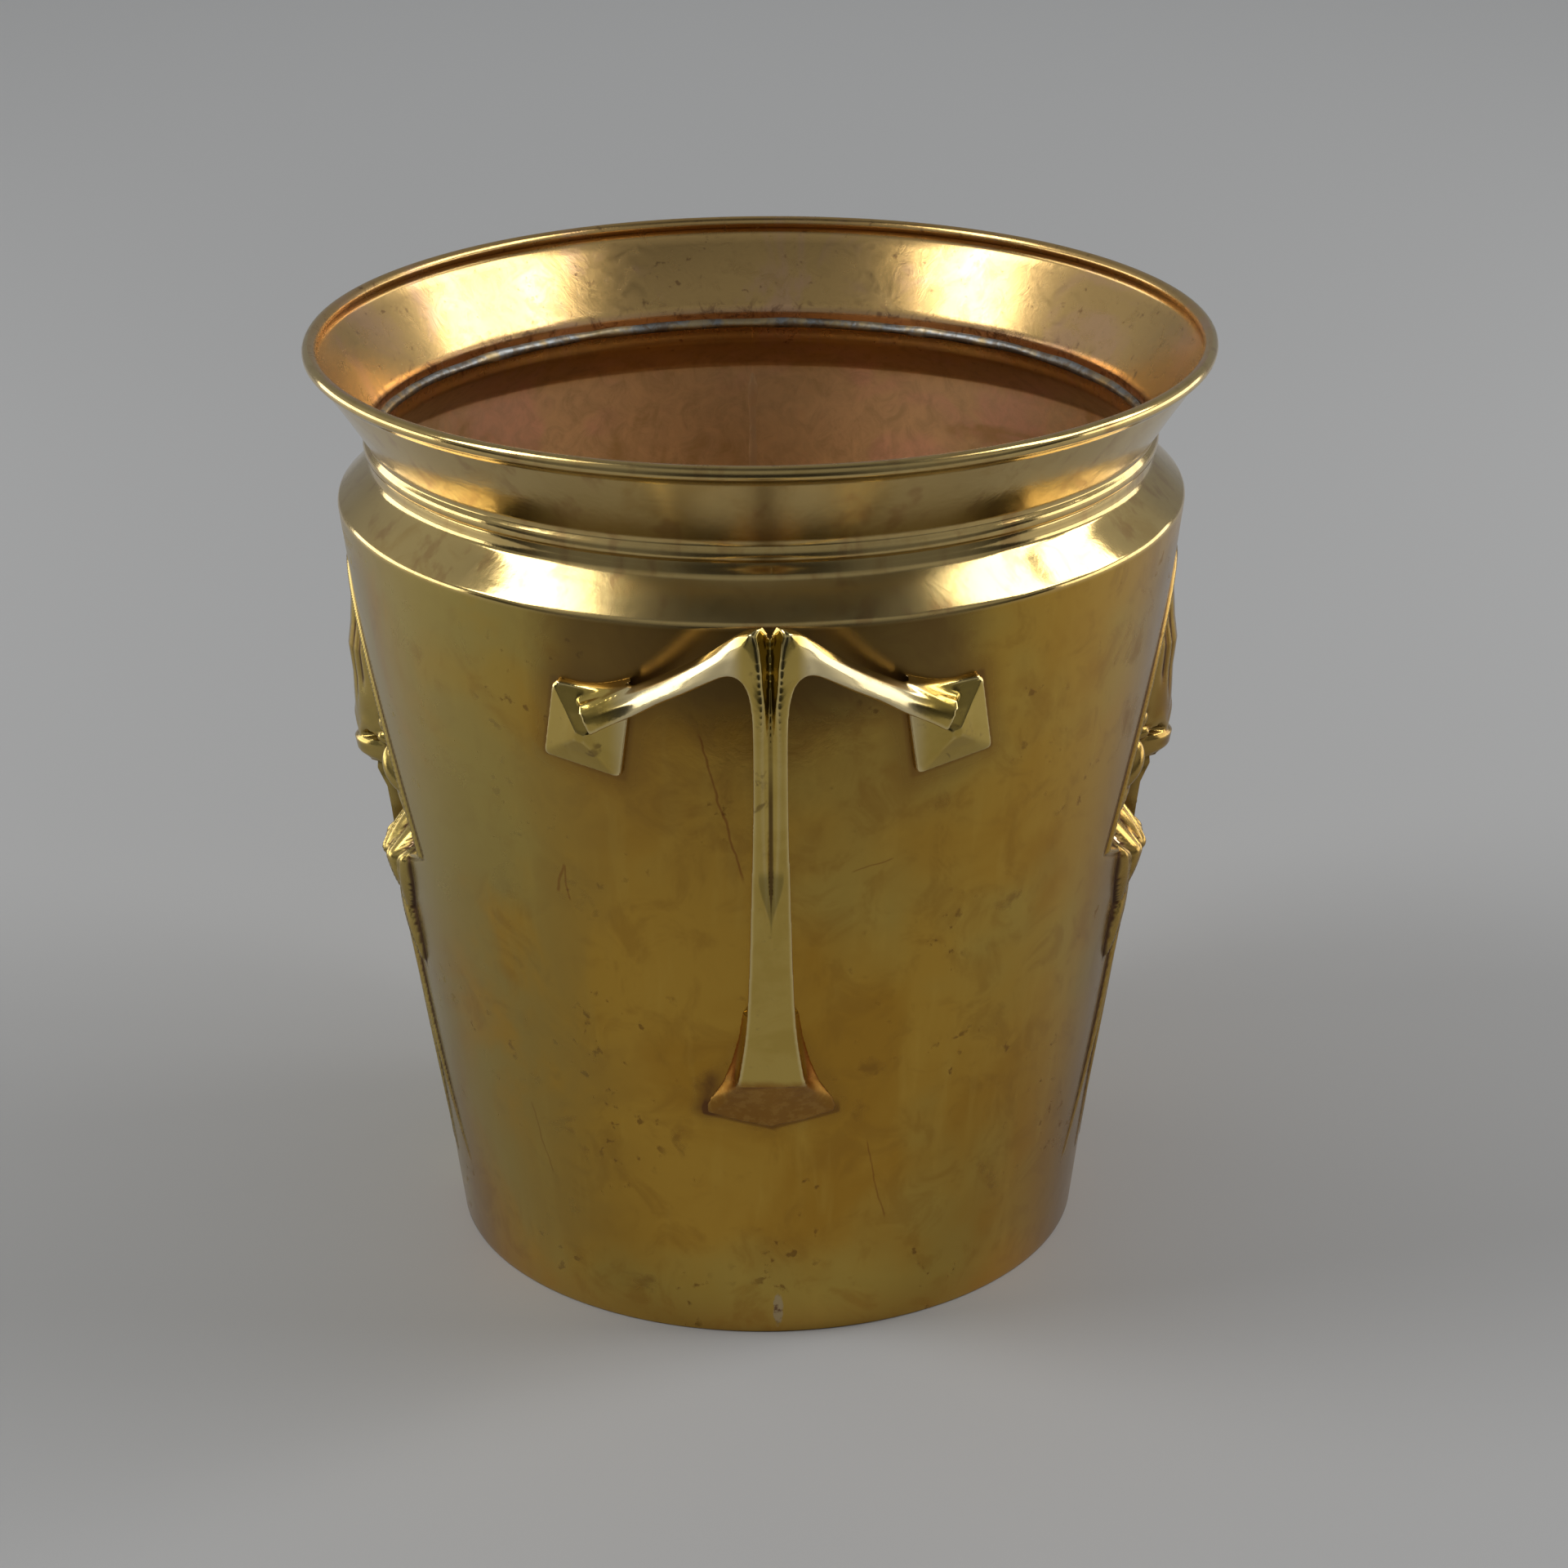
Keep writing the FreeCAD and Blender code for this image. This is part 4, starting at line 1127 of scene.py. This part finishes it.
def curvature(piece, times):
    """How far each point lies under its surroundings, in millimetres: positive in hollows."""
    mesh = piece.data
    count = len(mesh.vertices)
    points, normals = vectors(mesh, "co") / MM, vectors(mesh, "normal")
    edges = np.empty(len(mesh.edges) * 2, dtype=np.int64)
    mesh.edges.foreach_get("vertices", edges)
    a, b = edges.reshape(-1, 2).T
    links = np.bincount(a, minlength=count) + np.bincount(b, minlength=count)
    soft = points
    for _ in range(times):
        total = np.stack([np.bincount(a, soft[b, k], count) + np.bincount(b, soft[a, k], count)
                          for k in range(3)], axis=1)
        soft = 0.5 * soft + 0.5 * total / np.maximum(links, 1)[:, None]
    return np.einsum("ij,ij->i", soft - points, normals)


def facing_wall(piece):
    """How squarely each point faces the pot's axis and not upwards, where the handle's material lays painted
    shade.
    """
    points, normals = vectors(piece.data, "co"), vectors(piece.data, "normal")
    outward = points[:, :2] / np.linalg.norm(points[:, :2], axis=1)[:, None]
    inward = -np.einsum("ij,ij->i", normals[:, :2], outward)
    return smooth_step(0.05, 0.6, inward) * smooth_step(0.6, 0.1, normals[:, 2])


def handle(name, node, turn):
    """One casting: its solids run together, softened, and marked where it is hollow or worn, and where it faces
    the wall for painted shade.
    """
    half = [bar_solid(), pad_solid(), spur_solid()]
    points, faces = merged([foot_solid()] + half + [mirrored(s) for s in half])
    piece = new_piece(name, spun(points, turn + HANDLE_TURN), faces, [handle_brass])
    remesh = piece.modifiers.new("cast", "REMESH")
    remesh.mode = "VOXEL"
    remesh.voxel_size = HANDLE_VOXEL * MM
    remesh.use_smooth_shade = True
    soften = piece.modifiers.new("polish", "SMOOTH")
    soften.factor = 0.5
    soften.iterations = 10
    bake_modifiers(piece)
    paint(piece, "recess", curvature(piece, 40) / 1.8)
    paint(piece, "rubbed", -curvature(piece, 12) / 0.16)
    paint(piece, "back", facing_wall(piece))
    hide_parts(node)
    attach(piece, "root")


handle("cast_handle_front", "handle_front", 180)
handle("cast_handle_back", "handle_back", 0)


base_dish()
base_fillet()
seam_bead("seam_bead_front", "seam_solder_front", SEAM_TURN - 90)
seam_bead("seam_bead_back", "seam_solder_back", SEAM_TURN + 90)

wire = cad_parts["rim_wire"]
wire.data.materials.clear()
wire.data.materials.append(drawn_wire("drawn_wire"))


# ---------------- floor, light and camera

def floor():
    """Pale table top that ends a little in front of the pot, with painted light: darker in front and paler far
    behind it.
    """
    mesh = bpy.data.meshes.new("table_top")
    mesh.from_pydata([(-2.2, -0.362, 0), (2.2, -0.362, 0), (2.2, 2.6, 0), (-2.2, 2.6, 0)], [], [(0, 1, 2, 3)])
    material = bpy.data.materials.new("table_top")
    material.use_nodes = True
    tree = material.node_tree
    shader = tree.nodes["Principled BSDF"]
    shader.inputs["Roughness"].default_value = 0.6
    y = fields(tree, tree.nodes.new("ShaderNodeTexCoord").outputs["Object"])[1]
    # Painted light: the grey rises from the front of the table to far behind the pot.
    grey = y.ramp(0.1, 1.7, 0.47, 0.66) + y.ramp(0.8, 2.2, 0, 0.24)
    tree.links.new(grey.socket, shader.inputs["Base Color"])
    mesh.materials.append(material)
    piece = shown("table_top", mesh)


floor()


def softbox(name, place, aim, size, power):
    """Rectangular area light at a place, turned towards its aim."""
    light = bpy.data.lights.new(name, "AREA")
    light.shape = "RECTANGLE"
    light.size, light.size_y = size
    light.energy = power
    lamp = shown(name, light)
    lamp.location = place
    lamp.rotation_euler = (Vector(aim) - Vector(place)).to_track_quat("-Z", "Y").to_euler()


UPPER_AIM = (0, 0, 0.15)
LOWER_AIM = (0, 0, 0.19)
softbox("left_window", (-1.26, -0.28, 1.42), UPPER_AIM, (0.62, 0.9), 11.5)
softbox("left_low_window", (-1.2, 0.35, 0.26), LOWER_AIM, (1.2, 0.42), 4.6)
softbox("right_window", (1.3, -0.12, 1.38), UPPER_AIM, (0.5, 0.9), 7.5)
softbox("right_side_window", (1.4, 0.4, 1.06), UPPER_AIM, (0.4, 0.6), 4.5)
softbox("right_low_window", (1.2, 0.35, 0.26), LOWER_AIM, (1.2, 0.42), 3.5)


def studio():
    """Room light by direction: grey behind and above the table, dark in front of it."""
    world = bpy.data.worlds.new("studio")
    world.use_nodes = True
    tree = world.node_tree
    x, y, z = fields(tree, tree.nodes.new("ShaderNodeTexCoord").outputs["Generated"])
    rear = y.ramp(-0.4, 0.6, 0.015, 0.25)
    sides = x.abs().ramp(0.5, 0.85) * z.ramp(0.05, 0.25) * 0.2
    ahead = y.ramp(-0.2, -0.6)
    high = y.ramp(-0.38, -0.62) * z.ramp(0.35, 0.7) * 0.15
    middle = ahead * z.ramp(0, 0.2) * (z.ramp(0.75, 0.5) * 0.13 + 0.07)
    low = ahead * z.ramp(0.2, 0) * z.ramp(-0.8, -0.5) * (x.abs().ramp(0.28, 0.5) * 0.13 + 0.01)
    level = rear + (high + middle) + low + sides
    background = tree.nodes["Background"]
    background.inputs["Color"].default_value = (0.97, 0.99, 1, 1)
    tree.links.new(level.socket, background.inputs["Strength"])
    bpy.context.scene.world = world


studio()

CAMERA_AIM = Vector((0.0055, 0.0, 0.1226))
CAMERA_DISTANCE = 1.0814
CAMERA_PITCH = 22.5
CAMERA_ROLL = -0.38

camera_data = bpy.data.cameras.new("camera")
camera_data.sensor_width = 36
camera_data.lens = 90.1
camera = shown("camera", camera_data)
pitch = math.radians(CAMERA_PITCH)
camera.location = CAMERA_AIM + CAMERA_DISTANCE * Vector((0, -math.cos(pitch), math.sin(pitch)))
turned = Euler((math.radians(90 - CAMERA_PITCH), 0, 0))
turned.rotate_axis("Z", math.radians(CAMERA_ROLL))
camera.rotation_euler = turned
bpy.context.scene.camera = camera
bpy.context.scene.view_settings.view_transform = "Standard"
